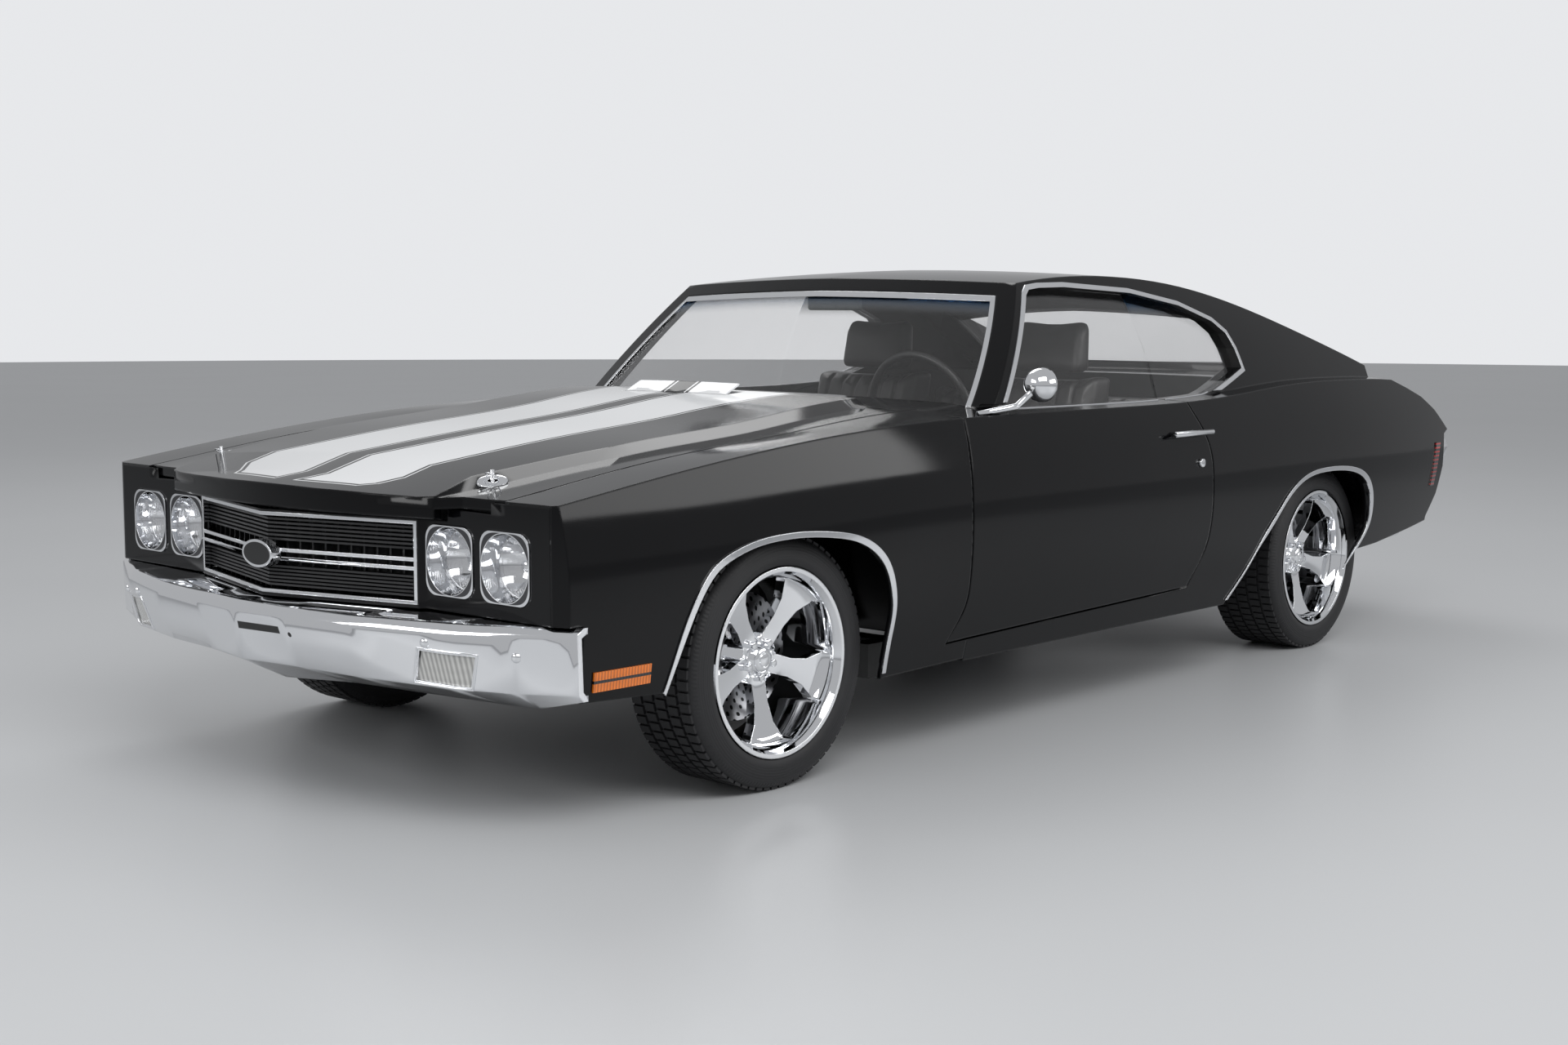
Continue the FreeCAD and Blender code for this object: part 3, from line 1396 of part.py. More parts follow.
@functools.cache
def wheel(width):
    """A five spoke wheel with its hub and brake disc; the outer lip lies at y = 0."""
    inner = rim_profile[5][1]
    stretch = (width - 2 * tyre_profile[2][1]) / -inner
    ring = spun([(r, y * stretch if y < inner / 2 else y) for r, y in rim_profile])
    dish = spun(dish_profile)
    top = [V(r, 0, half) for r, half in spoke_outline]
    low = [V(r, 0, -half) for r, half in reversed(spoke_outline)]
    path = Part.makePolygon(top + low + [top[0]])
    spoke = Part.Face(path).extrude(V(0, dish_profile[-1][1] - overrun, 0))
    spokes = []
    for index in range(spoke_count):
        turned = spoke.rotated(V(0, 0, 0), V(0, 1, 0), 90 + 360 / spoke_count * index)
        spokes.append(turned.common(dish))
    hub = tube(V(0, hub_back, 0), V(0, dish_profile[0][1], 0), hub_radius)
    cap = tube(V(0, dish_profile[0][1], 0), V(0, hub_cap_face, 0), hub_cap_radius)
    disc = tube(V(0, disc_face - disc_thickness, 0), V(0, disc_face, 0), disc_radius)
    bore = tube(V(0, -half_width, 0), V(0, -hub_bore_depth, 0), hub_bore_radius)
    return ring.fuse(spokes + [hub, cap, disc]).cut(bore)


@functools.cache
def tyre(width):
    """A plain tyre; its outer wall bulges past the lip at y = 0."""
    middle = -(width - 2 * tyre_profile[2][1]) / 2
    inner = [(r, 2 * middle - y) for r, y in reversed(tyre_profile)]
    return spun(list(tyre_profile) + inner)


def at_wheel(shape, axle_x, lip_y, left):
    placed = shape.translated(V(0, lip_y, 0))
    if not left:
        placed = mirrored(placed)
    return placed.translated(V(axle_x, 0, axle_height))


@functools.cache
def knuckle():
    """Left steering knuckle: an upright with its spindle, steering arm and brake caliper."""
    x = front_axle_x
    half = knuckle_width / 2
    upright = block(
        x - knuckle_depth / 2, x + knuckle_depth / 2, kingpin_y - half, kingpin_y + half, knuckle_low,
        knuckle_high,
    )
    spindle = tube(V(x, kingpin_y, axle_height), V(x, spindle_end, axle_height), spindle_radius)
    parts = [spindle, front_block(steering_arm)] + [front_block(box) for box in caliper_boxes]
    return upright.fuse(parts).removeSplitter()


def dashboard():
    """Dashboard across the cabin with the steering column."""
    board = side_prism([(front(x), z) for x, z in dash_points], -dash_half_width, dash_half_width)
    start, end = front_point(column_start), front_point(wheel_center)
    way = (end - start).normalize()
    column = tube(start, end - way * (steering_hub_depth + seat_gap), column_radius)
    return board.fuse(column).removeSplitter()


def steering_wheel():
    """Rim, three spokes and hub, square to the column."""
    start, center = front_point(column_start), front_point(wheel_center)
    way = (center - start).normalize()
    rim = Part.makeTorus(steering_radius, grip_radius, center, way)
    hub = tube(center - way * steering_hub_depth, center + way * grip_radius / 2, steering_hub_radius)
    across = V(0, 1, 0)
    down = way.cross(across)
    spokes = []
    for direction in (across, -across, down * (1 if down.z < 0 else -1)):
        spokes.append(tube(center, center + direction * steering_radius, grip_radius * spoke_thin_share))
    return rim.fuse([hub] + spokes)


def seat_shape(points, half):
    """A padded shape from its side outline, drawn out over its width with round edges."""
    body = side_prism([(front(x), z) for x, z in points], -half, half)
    return body


def front_seats():
    """Two bucket seats with their headrests and bases."""
    cushion = seat_shape(cushion_points, seat_half_width)
    back = seat_shape(seat_back_points, seat_half_width)
    side_room = block(
        -half_length, half_length, headrest_half_width, half_width, headrest_height, roof_height,
    )
    back = back.cut([side_room, mirrored(side_room)])
    base = front_block(seat_base_box)
    seat = cushion.fuse([back, base]).removeSplitter()
    return Part.makeCompound([seat.translated(V(0, y, 0)) for y in (seat_y, -seat_y)])


def rear_seat():
    cushion = seat_shape(rear_cushion_points, rear_seat_half_width)
    back = seat_shape(rear_back_points, rear_seat_half_width)
    tunnel = tube(
        V(-half_length, 0, floor_height), V(half_length, 0, floor_height), tunnel_radius + seat_gap,
    )
    return Part.makeCompound([cushion.cut(tunnel), back])


def console():
    box = front_block(console_box)
    top = V(front(shifter_x), 0, console_box[5])
    knob = V(front(shifter_x), 0, shifter_height)
    return box.fuse([tube(top, knob, shifter_radius), Part.makeSphere(knob_radius, knob)])


def cabin_mirror():
    x, y, z = mirror_place
    depth, wide, high = mirror_size
    head = block(front(x) - depth, front(x), y - wide / 2, y + wide / 2, z - high / 2, z + high / 2)
    stem = tube(
        V(front(x) - depth / 2, y, z), V(front(x) - depth / 2, y, mirror_stem_top), mirror_stem_radius,
    )
    return head.fuse(stem)


def mirror_head_shell(head):
    """The mirror's bright bullet with a flat face to the rear."""
    path = [V(mirror_levels[0], 0, 0)]
    for forward, share in zip(mirror_levels, mirror_level_shares):
        path.append(V(forward, mirror_radius * share, 0))
    path.append(V(mirror_levels[-1], 0, 0))
    bullet = Part.Face(Part.makePolygon(path + [path[0]])).revolve(V(0, 0, 0), V(1, 0, 0), 360)
    return bullet.translated(head)


def door_fittings(with_mirror):
    """Door handle and lock on the left door's skin, and the swept mirror where there is one."""
    skin_y = handle_skin_y
    bar_y = skin_y + handle_stand
    x0, x1 = front(handle_x0), front(handle_x1)
    bar = tube(V(x0, bar_y, handle_z), V(x1, bar_y, handle_z), handle_radius)
    parts = [bar]
    for x in (x0 + handle_radius * 2, x1 - handle_radius * 2):
        parts.append(tube(V(x, skin_y - handle_stand, handle_z), V(x, bar_y, handle_z), handle_post_radius))
    handle = parts[0].fuse(parts[1:])
    x, z = lock_place
    lock = tube(
        V(front(x), skin_y - handle_stand, z), V(front(x), half_width + lock_rise, z), lock_radius,
    )
    shapes = [handle, lock]
    if with_mirror:
        foot, head = front_point(mirror_arm_foot), front_point(mirror_head)
        sweep = V(head.x, head.y, head.z)
        middle = (foot + head) / 2 + V(-mirror_bend, mirror_bend / 2, -mirror_bend)
        parts = [
            tube(foot, middle, mirror_arm_radius), tube(middle, sweep, mirror_arm_radius),
            Part.makeSphere(mirror_arm_radius, middle),
        ]
        shapes.append(mirror_head_shell(head).fuse(parts))
    clear = lower_body(-seat_gap)
    return Part.makeCompound([biggest(shape.cut(clear)) for shape in shapes])


def hood_pins():
    """Two pins that stand through the hood."""
    x = front(pin_x)
    pin = tube(V(x, pin_y, pin_foot_z), V(x, pin_y, pin_surface_z + pin_height), pin_radius)
    return both_sides(pin)


def build():
    """Each node's name with the function that makes its shape."""
    front_lip = front_track / 2 + front_lip_offset
    rear_lip = rear_track / 2 + rear_lip_offset
    shapes = {
        "body_shell": body_shell, "chassis_frame": chassis_frame, "floor_pan": floor_pan,
        "front_panel": front_panel,
        "grille_bars": grille_bars, "grille_trim": grille_trim, "headlamps": headlamps,
        "headlamp_bezels": headlamp_bezels,
        "front_bumper": front_bumper, "parking_lamps": parking_lamps, "side_markers": side_markers,
        "rear_bumper": rear_bumper, "tail_lamps": tail_lamps, "fixed_glass": fixed_glass,
        "window_trims": window_trims,
        "arch_trims": arch_trims, "hood": hood, "induction_flap": induction_flap, "trunk_lid": trunk_lid,
        "dashboard": dashboard, "steering_wheel": steering_wheel, "front_seats": front_seats,
        "rear_seat": rear_seat,
        "console": console, "cabin_mirror": cabin_mirror, "engine": engine, "radiator": radiator,
        "driveline": driveline,
        "exhaust": exhaust, "fuel_tank": fuel_tank, "rear_axle": rear_axle,
        "front_suspension": front_suspension,
        "inner_fenders": inner_fenders, "hood_pins": hood_pins,
    }
    pairs = {"fender": fender, "door": door, "door_glass": door_glass, "knuckle": knuckle}
    for name, make in pairs.items():
        shapes[name + "_left"] = make
        shapes[name + "_right"] = lambda make=make: mirrored(make())
    shapes["door_fittings_left"] = lambda: door_fittings(True)
    shapes["door_fittings_right"] = lambda: mirrored(door_fittings(False))
    for side in ("left", "right"):
        left = side == "left"
        for end, place, lip, width in (
            ("front", front_axle_x, front_lip, front_tyre_width),
            ("rear", rear_axle_x, rear_lip, rear_tyre_width),
        ):
            for name, make in (("wheel", wheel), ("tyre", tyre)):
                shapes["_".join((name, end, side))] = (
                    lambda make=make, width=width, place=place, lip=lip,
                    left=left: at_wheel(make(width), place, lip, left)
                )
    return shapes


if __name__ == "__main__":
    os.makedirs("parts", exist_ok=True)
    for name, make in build().items():
        make().exportStep("parts/" + name + ".step")
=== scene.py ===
import json
import math
from functools import partialmethod

import bmesh
import bpy
from bpy.props import FloatProperty, FloatVectorProperty, IntProperty, PointerProperty
from mathutils import Matrix, Vector, bvhtree, interpolate

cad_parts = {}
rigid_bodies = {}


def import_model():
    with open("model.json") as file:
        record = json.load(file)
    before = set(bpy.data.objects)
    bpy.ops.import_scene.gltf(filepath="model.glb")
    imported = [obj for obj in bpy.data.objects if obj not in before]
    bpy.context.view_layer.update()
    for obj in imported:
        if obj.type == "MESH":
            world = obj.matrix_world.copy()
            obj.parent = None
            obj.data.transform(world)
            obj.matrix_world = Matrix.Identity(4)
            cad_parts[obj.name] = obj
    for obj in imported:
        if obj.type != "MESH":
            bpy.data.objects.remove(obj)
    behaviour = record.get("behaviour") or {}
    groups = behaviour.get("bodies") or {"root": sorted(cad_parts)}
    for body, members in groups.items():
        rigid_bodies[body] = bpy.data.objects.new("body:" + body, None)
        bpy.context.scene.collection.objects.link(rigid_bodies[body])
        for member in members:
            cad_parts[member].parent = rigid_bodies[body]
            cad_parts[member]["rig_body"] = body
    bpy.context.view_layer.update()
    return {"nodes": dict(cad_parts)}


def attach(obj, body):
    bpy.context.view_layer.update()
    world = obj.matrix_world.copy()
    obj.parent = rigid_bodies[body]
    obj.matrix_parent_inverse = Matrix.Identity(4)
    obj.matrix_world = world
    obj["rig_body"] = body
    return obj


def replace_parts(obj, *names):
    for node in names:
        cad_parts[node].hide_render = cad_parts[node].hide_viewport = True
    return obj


bl_info = {
    "name": "Muscle Car Dress",
    "version": (1, 0, 0),
    "blender": (4, 5, 0),
    "location": "3D View > Sidebar > Muscle Car",
    "description": "Finishes and fine pieces for the packed two-door muscle car",
    "category": "Object",
}

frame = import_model()
NODES = frame["nodes"]

# Places in metres, from the middle of the car on the ground
FRONT_AXLE = 1.5145
REAR_AXLE = -1.3305
HALF_LENGTH = 2.5045
HALF_WIDTH = 0.9575
BELT = 0.905
ROOF = 1.316
FORWARD, BACK, LEFT, UP, DOWN = (1, 0, 0), (-1, 0, 0), (0, 1, 0), (0, 0, 1), (0, 0, -1)
AHEAD, ABOVE = 3.0, 2.0
CABIN_MIDDLE = Vector((-0.35, 0.0, 0.80))
CABIN_BOX = (-1.42, 0.80, 0.865, 0.25, 1.27)

# Nets of the body's skins as shares: stations, places or levels, and widths or heights in thousandths
SIDE_STATIONS = (1.06, 0.918, 0.778, 0.605, 0.4, 0.16, -0.16, -0.4, -0.6, -0.8, -0.958, -1.05)
SIDE_LEVELS = (0.13, 0.33, 0.53, 0.685, 0.84, 0.972, 1.105)
SIDE_WIDTHS = (
    (900, 925, 936, 936, 915, 880, 830),
    (915, 952, 967, 967, 949, 916, 868),
    (924, 962, 981, 984, 965, 930, 880),
    (930, 972, 993, 998, 983, 948, 895),
    (918, 966, 992, 1000, 988, 954, 902),
    (909, 961, 992, 1000, 989, 956, 904),
    (909, 961, 992, 1000, 989, 956, 904),
    (916, 965, 993, 1000, 990, 959, 908),
    (918, 964, 989, 995, 984, 952, 900),
    (905, 946, 968, 972, 959, 926, 872),
    (878, 914, 934, 937, 924, 892, 840),
    (852, 886, 905, 908, 895, 864, 812),
)
TOP_STATIONS = (
    1.06, 0.902, 0.782, 0.663, 0.543, 0.423, 0.285, 0.145,
    0.0, -0.134, -0.254, -0.374, -0.493, -0.613, -0.733, -0.853, -0.973, -1.06,
)
TOP_PLACES = (0.0, 0.3, 0.585, 0.773, 0.9, 1.06)
TOP_HEIGHTS = (
    (822, 815, 795, 790, 785, 775),
    (872, 866, 852, 848, 850, 848),
    (910, 907, 902, 900, 899, 896),
    (945, 943, 939, 937, 939, 936),
    (976, 973, 966, 963, 970, 968),
    (1020, 1017, 1006, 1000, 989, 983),
    (1044, 1041, 1030, 1021, 999, 991),
    (1042, 1039, 1028, 1016, 1000, 992),
    (1030, 1028, 1022, 1012, 1000, 992),
    (1024, 1023, 1020, 1012, 1002, 994),
    (1040, 1039, 1035, 1026, 1014, 1006),
    (1060, 1059, 1055, 1048, 1036, 1028),
    (1070, 1069, 1066, 1060, 1048, 1040),
    (1068, 1067, 1064, 1058, 1046, 1038),
    (1060, 1059, 1056, 1051, 1038, 1030),
    (1036, 1035, 1031, 1024, 1009, 1000),
    (1004, 1002, 996, 986, 970, 960),
    (975, 973, 966, 956, 940, 930),
)
ROOF_STATIONS = (0.33, 0.205, 0.086, -0.034, -0.154, -0.274, -0.394, -0.513, -0.633, -0.753, -0.873, -1.0)
ROOF_LINE = (0.890, 0.940, 0.972, 0.9865, 0.985, 0.966, 0.925, 0.870, 0.812, 0.753, 0.688, 0.620)
ROOF_PLACES = (0.0, 0.35, 0.69, 0.9)
ROOF_CROWN = (0.0175, 0.0135, 0.0, -0.014)
CAB_STATIONS = (0.33, 0.1, -0.15, -0.4, -0.62, -0.8, -1.0)
CAB_TAPER = (1.0, 1.0, 1.0, 0.994, 0.972, 0.94, 0.90)
CAB_LEVELS = (0.90, 1.0, 1.1, 1.2, 1.3, 1.4, 1.52)
CAB_WIDTHS = (0.888, 0.873, 0.846, 0.810, 0.766, 0.712, 0.640)
SKIN_CELLS = (220, 60)
SKIN_REACH = 0.032
SKIN_ANGLE = 24

# Wheels: name, place of the axle, side, outer lip and tyre width, then their parts
TYRE_RADIUS = 0.321
WHEELS = (
    ("front_left", FRONT_AXLE, 1, 0.886, 0.244),
    ("front_right", FRONT_AXLE, -1, 0.886, 0.244),
    ("rear_left", REAR_AXLE, 1, 0.867, 0.264),
    ("rear_right", REAR_AXLE, -1, 0.867, 0.264),
)
TREAD_RIBS = 5
TREAD_EDGE = 0.016
TREAD_GROOVE = 0.009
WALL_BULGE = 0.008
NUT_FACE = -0.080
NUT_RADIUS = 0.0105
NUT_HEIGHT = 0.016
CAP_FACE = -0.066
DISC_DEPTH = 0.138
DISC_RADII = (0.068, 0.166)
RING_RADII = (0.262, 0.300)
RIB_RADII = (0.300, 0.309)

# Profiles to turn about an axis, as radii and places along it
TYRE_WALL = (
    (0.2405, -0.010), (0.243, -0.002), (0.249, 0.001), (0.262, 0.0032), (0.2635, 0.0026),
    (0.280, 0.0038), (0.2815, 0.0030), (0.296, 0.0012), (0.3045, -0.0040), (0.3105, -0.0100),
)
HUB_CAP = (
    (0.0, 0.0105), (0.010, 0.0100), (0.017, 0.0080), (0.0185, 0.0050),
    (0.0200, 0.0062), (0.0270, 0.0052), (0.0315, 0.0020), (0.0325, -0.004),
)
BOLT_DOME = ((0.0, 0.0065), (0.006, 0.0058), (0.0105, 0.0030), (0.0125, -0.002))
PIN_PLATE = ((0.0075, 0.0), (0.0075, 0.0034), (0.019, 0.0034), (0.0222, 0.0022), (0.023, -0.001))
LAMP_BOWL = (
    (0.0, -0.048), (0.022, -0.046), (0.044, -0.034), (0.060, -0.018), (0.0695, -0.001),
    (0.0705, -0.001), (0.0615, -0.020), (0.045, -0.036), (0.0225, -0.048), (0.0, -0.050),
)
BULB_CAP = ((0.0, -0.014), (0.011, -0.015), (0.0135, -0.019), (0.0135, -0.046), (0.0, -0.046))
MIRROR_STEM = ((0.0045, -0.010), (0.0045, 0.030), (0.010, 0.038), (0.010, 0.0405), (0.0, 0.0405))

# Nose: headlamps, blank badge, bumper slot and its hole (painted near-black on the bumper as shade), bolts,
# parking lamps, front side markers
LAMP_LINES = (0.742, 0.552)
LAMP_HEIGHT = 0.617
LAMP_FACE = FRONT_AXLE + 0.722
LENS_RADIUS = 0.080
BADGE_HEIGHT = 0.603
BADGE_HALVES = (0.056, 0.028)
SLOT_ACROSS = (0.012, 0.158)
SLOT_UP = (0.429, 0.447)
SLOT_HOLE = (0.191, 0.430, 0.006)
BUMPER_FACE = FRONT_AXLE + 0.85
BUMPER_BOLTS = ((0.608, 0.449), (0.815, 0.428))
PARKING_FRAME = ((0.553, 0.352), (0.704, 0.346), (0.731, 0.430), (0.585, 0.436))
MARKER_LINE = (0.3655, 0.3725)

# Hood stripes, hood pins, sill strips and exhaust tips
FLARE_START = 1.25
FLARE = 0.13
STRIPE_SWEEP = 0.12
PIN_PLACE = (FRONT_AXLE + 0.650, 0.566)
SILL_LINE = 0.822
SILL_ABOVE = 1.1
SILL_STEPS = 12
SILL_BAR = 0.003
PARKING_BAR = 0.0032
DOOR_SILL = (-1.835, -0.985)
QUARTER_SILL = (-2.14, -1.88)
TIP_FRONT = -2.20
TAIL_MARKERS = 0.815

# Cabin: dials as places across and radii, and side outlines as x from the front axle and z
GAUGES = ((0.255, 0.030), (0.325, 0.044), (0.425, 0.044), (0.497, 0.030))
GAUGE_HEIGHT = 0.815
STEM_PLACE = (FRONT_AXLE - 1.229, 0.0, 1.216)
MIRROR_HEAD = ((-1.239, 1.189), (-1.239, 1.243), (-1.219, 1.243), (-1.219, 1.189))
SEAT_BASE = ((-1.335, 0.302), (-1.350, 0.398), (-1.760, 0.398), (-1.775, 0.302))

# Cushions: name, outline, half width, places across, channels, side toward the sitter, share of puff
SEAT_SIDES = (("_left", 0.368), ("_right", -0.368))
PADS = (
    (
        "seat_cushion",
        ((-1.290, 0.415), (-1.300, 0.515), (-1.360, 0.562), (-1.760, 0.520), (-1.790, 0.402)),
        0.255, SEAT_SIDES, (0.158, 5), (0.1, 0, 1), 1.0,
    ),
    (
        "seat_back",
        (
            (-1.765, 0.521), (-1.700, 0.590), (-1.830, 0.960), (-1.842, 0.990), (-1.950, 0.990),
            (-1.870, 0.560), (-1.800, 0.480),
        ),
        0.250, SEAT_SIDES, (0.152, 5), (1, 0, 0.35), 0.8,
    ),
    (
        "seat_headrest",
        ((-1.834, 0.975), (-1.868, 1.125), (-1.905, 1.168), (-1.958, 1.158), (-1.950, 0.975)),
        0.150, SEAT_SIDES, (0.100, 0), (1, 0, 0.25), 0.35,
    ),
    (
        "rear_cushion",
        ((-2.060, 0.360), (-2.060, 0.495), (-2.110, 0.532), (-2.380, 0.500), (-2.395, 0.360)),
        0.585, (("", 0.0),), (0.500, 15), (0.1, 0, 1), 1.0,
    ),
    (
        "rear_back",
        (
            (-2.395, 0.546), (-2.330, 0.600), (-2.470, 0.900), (-2.520, 0.913), (-2.556, 0.898),
            (-2.500, 0.546),
        ),
        0.585, (("", 0.0),), (0.500, 15), (1, 0, 0.4), 0.8,
    ),
)
PAD_FRAMES = 20
PAD_ROUND = 0.028
PAD_INSET = 0.011
CHANNEL_WIDTH = 0.0075

# Plastics and metals: name, colour, lowest and highest roughness, scale and strength of the grain
PLASTICS = (
    ("grille_black", (0.012, 0.012, 0.013), 0.30, 0.5, 700.0, 0.25),
    ("dash_vinyl", (0.014, 0.014, 0.014), 0.42, 0.6, 420.0, 0.5),
    ("carpet", (0.010, 0.010, 0.010), 0.85, 0.97, 1400.0, 0.9),
    ("chassis_black", (0.018, 0.018, 0.018), 0.4, 0.7, 90.0, 0.3),
    ("mirror_shell", (0.10, 0.12, 0.12), 0.08, 0.14, 700.0, 0.25),
    ("gauge_face", (0.008, 0.008, 0.009), 0.12, 0.2, 700.0, 0.25),
)
METALS = (
    ("cast_iron", (0.10, 0.095, 0.09), 0.55, 0.8),
    ("bare_steel", (0.32, 0.32, 0.33), 0.30, 0.5),
    ("caliper_metal", (0.60, 0.60, 0.62), 0.16, 0.3),
    ("tank_metal", (0.22, 0.22, 0.23), 0.4, 0.6),
)
NEAR_BLACK = (0.004, 0.004, 0.004)
SOFT_EDGE = 0.0006
NOISE_ROUGHNESS = 0.55
METAL_SCALE = 40.0

# Stage: floor, light from all round, lamps as place, size, power and target, and the camera
FLOOR_RADIUS = 40.0
LIGHT_COLOUR = (0.82, 0.83, 0.85, 1)
LIGHT_STRENGTH = 0.55
LAMPS = (
    ("key", (3.5, 5.0, 5.5), (6.0, 3.0), 260.0, (0.3, 0.2, 0.5)),
    ("side", (-3.0, 6.5, 3.0), (5.0, 2.0), 110.0, (-0.5, 0.0, 0.6)),
    ("nose", (7.5, -1.5, 3.5), (4.0, 2.0), 120.0, (1.0, 0.0, 0.6)),
    ("back", (-3.5, -5.0, 7.5), (5.0, 4.0), 150.0, (-0.5, 0.0, 0.6)),
)
CAMERA_PLACE = (5.1254, 4.1390, 1.1957)
CAMERA_TURN = Vector((0.8128, 1.8302, -1.6416))
CAMERA_SENSOR = 36.0
FOCUS_PER_WIDTH = 2433.9 / 1920


def length(name, default, text):
    return FloatProperty(name=name, default=default, unit="LENGTH", description=text)


def colour(name, default, text):
    return FloatVectorProperty(
        name=name, default=default, size=3, min=0, max=1, subtype="COLOR", description=text
    )


class CarSizes(bpy.types.PropertyGroup):
    """Sizes of the fine pieces."""

    stripe_inner: length("Stripe inner edge", 0.038, "Half the black band between the two hood stripes")
    stripe_outer: length("Stripe outer edge", 0.335, "Place of a hood stripe's outer edge")
    stripe_front: length("Stripe front", 2.355, "Place of the stripes' front ends")
    stripe_corner: length("Stripe corner", 0.055, "Leg of the cut at each front corner of a stripe")
    pin_line: length("Pinstripe", 0.006, "Width of the thin line round each stripe")
    pin_gap: length("Pinstripe gap", 0.011, "Black gap between a stripe and its thin line")
    tread_depth: length("Tread depth", 0.007, "Depth of the tyre grooves")
    tread_pitches: IntProperty(
        name="Tread pitches", default=72, min=24, max=120, description="Blocks round a tyre"
    )
    nut_circle: length("Nut circle", 0.047, "Radius of the circle of wheel nuts")
    pad_voxel: length("Pad voxel", 0.011, "Size of the cells that a cushion is remeshed to")
    pad_pressure: FloatProperty(
        name="Pad pressure", default=4.0, description="Air pressure that swells a cushion"
    )
    pad_reach: length("Pad reach", 0.022, "Farthest that a point of a cushion may move")
    channel_depth: length("Channel depth", 0.007, "Depth of the sewn channels of the seats")


class CarColours(bpy.types.PropertyGroup):
    """Colours of the finishes."""

    paint: colour("Body paint", (0.002, 0.002, 0.0024), "Gloss black of the body")
    stripe: colour("Stripes", (0.86, 0.87, 0.88), "White of the hood stripes")
    chrome: colour("Bright metal", (0.84, 0.85, 0.87), "Chrome of bumpers, trim and wheels")
    leather: colour("Upholstery", (0.018, 0.017, 0.017), "Leather of the seats")
    rubber: colour("Rubber", (0.009, 0.009, 0.010), "Tyre rubber")
    amber: colour("Amber lenses", (0.85, 0.20, 0.01), "Side markers")
    red: colour("Red lenses", (0.45, 0.006, 0.008), "Tail lamps")
    floor: colour("Floor", (0.56, 0.57, 0.58), "Pale studio floor")
    wall: colour("Wall", (0.80, 0.81, 0.83), "Studio wall that the camera sees")


class Shade:
    """A shader socket that works in sums and products like a number."""

    def __init__(self, finish, socket):
        self.finish, self.socket = finish, socket

    def math(self, operation, *others):
        inputs = dict(enumerate((self, *others)))
        return self.finish.node("ShaderNodeMath", {"operation": operation}, inputs)

    __add__ = __radd__ = partialmethod(math, "ADD")
    __sub__ = partialmethod(math, "SUBTRACT")
    __mul__ = __rmul__ = partialmethod(math, "MULTIPLY")
    __truediv__ = partialmethod(math, "DIVIDE")
    __abs__ = partialmethod(math, "ABSOLUTE")
    sin = partialmethod(math, "SINE")
    lowest = partialmethod(math, "MINIMUM")
    highest = partialmethod(math, "MAXIMUM")

    def __rsub__(self, other):
        return self * -1.0 + other

    def step(self, edge, soft=SOFT_EDGE):
        """0 below the edge and 1 above it, with a soft change between them."""
        settings = {"interpolation_type": "SMOOTHSTEP"}
        return self.finish.node("ShaderNodeMapRange", settings, {0: self, 1: edge - soft, 2: edge + soft})

    def between(self, low, high, soft=SOFT_EDGE):
        return self.step(low, soft) - self.step(high, soft)


class Finish:
    """A material being made up, round its own surface shader."""

    made = {}

    def __init__(self, name, base, roughness, metallic=0.0, **constants):
        self.material = bpy.data.materials.new(name)
        self.material.use_nodes = True
        self.tree = self.material.node_tree
        self.surface = self.tree.nodes["Principled BSDF"]
        self.surface.inputs["Base Color"].default_value = (*base, 1)
        self.surface.inputs["Roughness"].default_value = roughness
        self.surface.inputs["Metallic"].default_value = metallic
        for key, value in constants.items():
            self.surface.inputs[key.replace("_", " ").title().replace("Ior", "IOR")].default_value = value
        Finish.made[name] = self

    def node(self, kind, settings=None, inputs=None, output=0):
        made = self.tree.nodes.new(kind)
        for key, value in (settings or {}).items():
            setattr(made, key, value)
        for key, value in (inputs or {}).items():
            if isinstance(value, Shade):
                self.tree.links.new(value.socket, made.inputs[key])
            else:
                made.inputs[key].default_value = value
        return Shade(self, made.outputs[output])

    def feed(self, socket, value):
        self.tree.links.new(value.socket, self.surface.inputs[socket])

    def spot(self):
        return self.node("ShaderNodeTexCoord", output="Object")

    def place(self):
        """The three parts of Object coordinates."""
        spot = self.spot()
        return [self.node("ShaderNodeSeparateXYZ", None, {0: spot}, axis) for axis in range(3)]

    def noise(self, scale, detail=3.0):
        inputs = {"Vector": self.spot(), "Scale": scale, "Detail": detail, "Roughness": NOISE_ROUGHNESS}
        return self.node("ShaderNodeTexNoise", None, inputs)

    def mix(self, share, first, second):
        """A colour between two, by a share."""
        ends = [end if isinstance(end, Shade) else (*end, 1) for end in (first, second)]
        inputs = {0: share, 6: ends[0], 7: ends[1]}
        return self.node("ShaderNodeMix", {"data_type": "RGBA"}, inputs, 2)

    def colour(self, share, first, second):
        self.feed("Base Color", self.mix(share, first, second))

    def bump(self, height, strength, distance, round_off=0.0):
        inputs = {"Height": height, "Strength": strength, "Distance": distance}
        if round_off:
            inputs["Normal"] = self.node("ShaderNodeBevel", {"samples": 4}, {"Radius": round_off})
        self.feed("Normal", self.node("ShaderNodeBump", None, inputs))

    def worn(self, low, high, scale=9.0):
        """A roughness that wanders between two values."""
        self.feed("Roughness", self.noise(scale, 4.0) * (high - low) + low)


def scaled(base, factor, lift=0.0):
    """A colour made paler or deeper."""
    return tuple(channel * factor + lift for channel in base)


def distance(across, up):
    return (across * across + up * up).math("SQRT")


def distance_from_middle(finish, centre):
    """Distance from a wheel's axis, place along it, and angle round it."""
    x, y, z = finish.place()
    across, up = x - centre[0], z - centre[1]
    return distance(across, up), y, up.math("ARCTAN2", across)


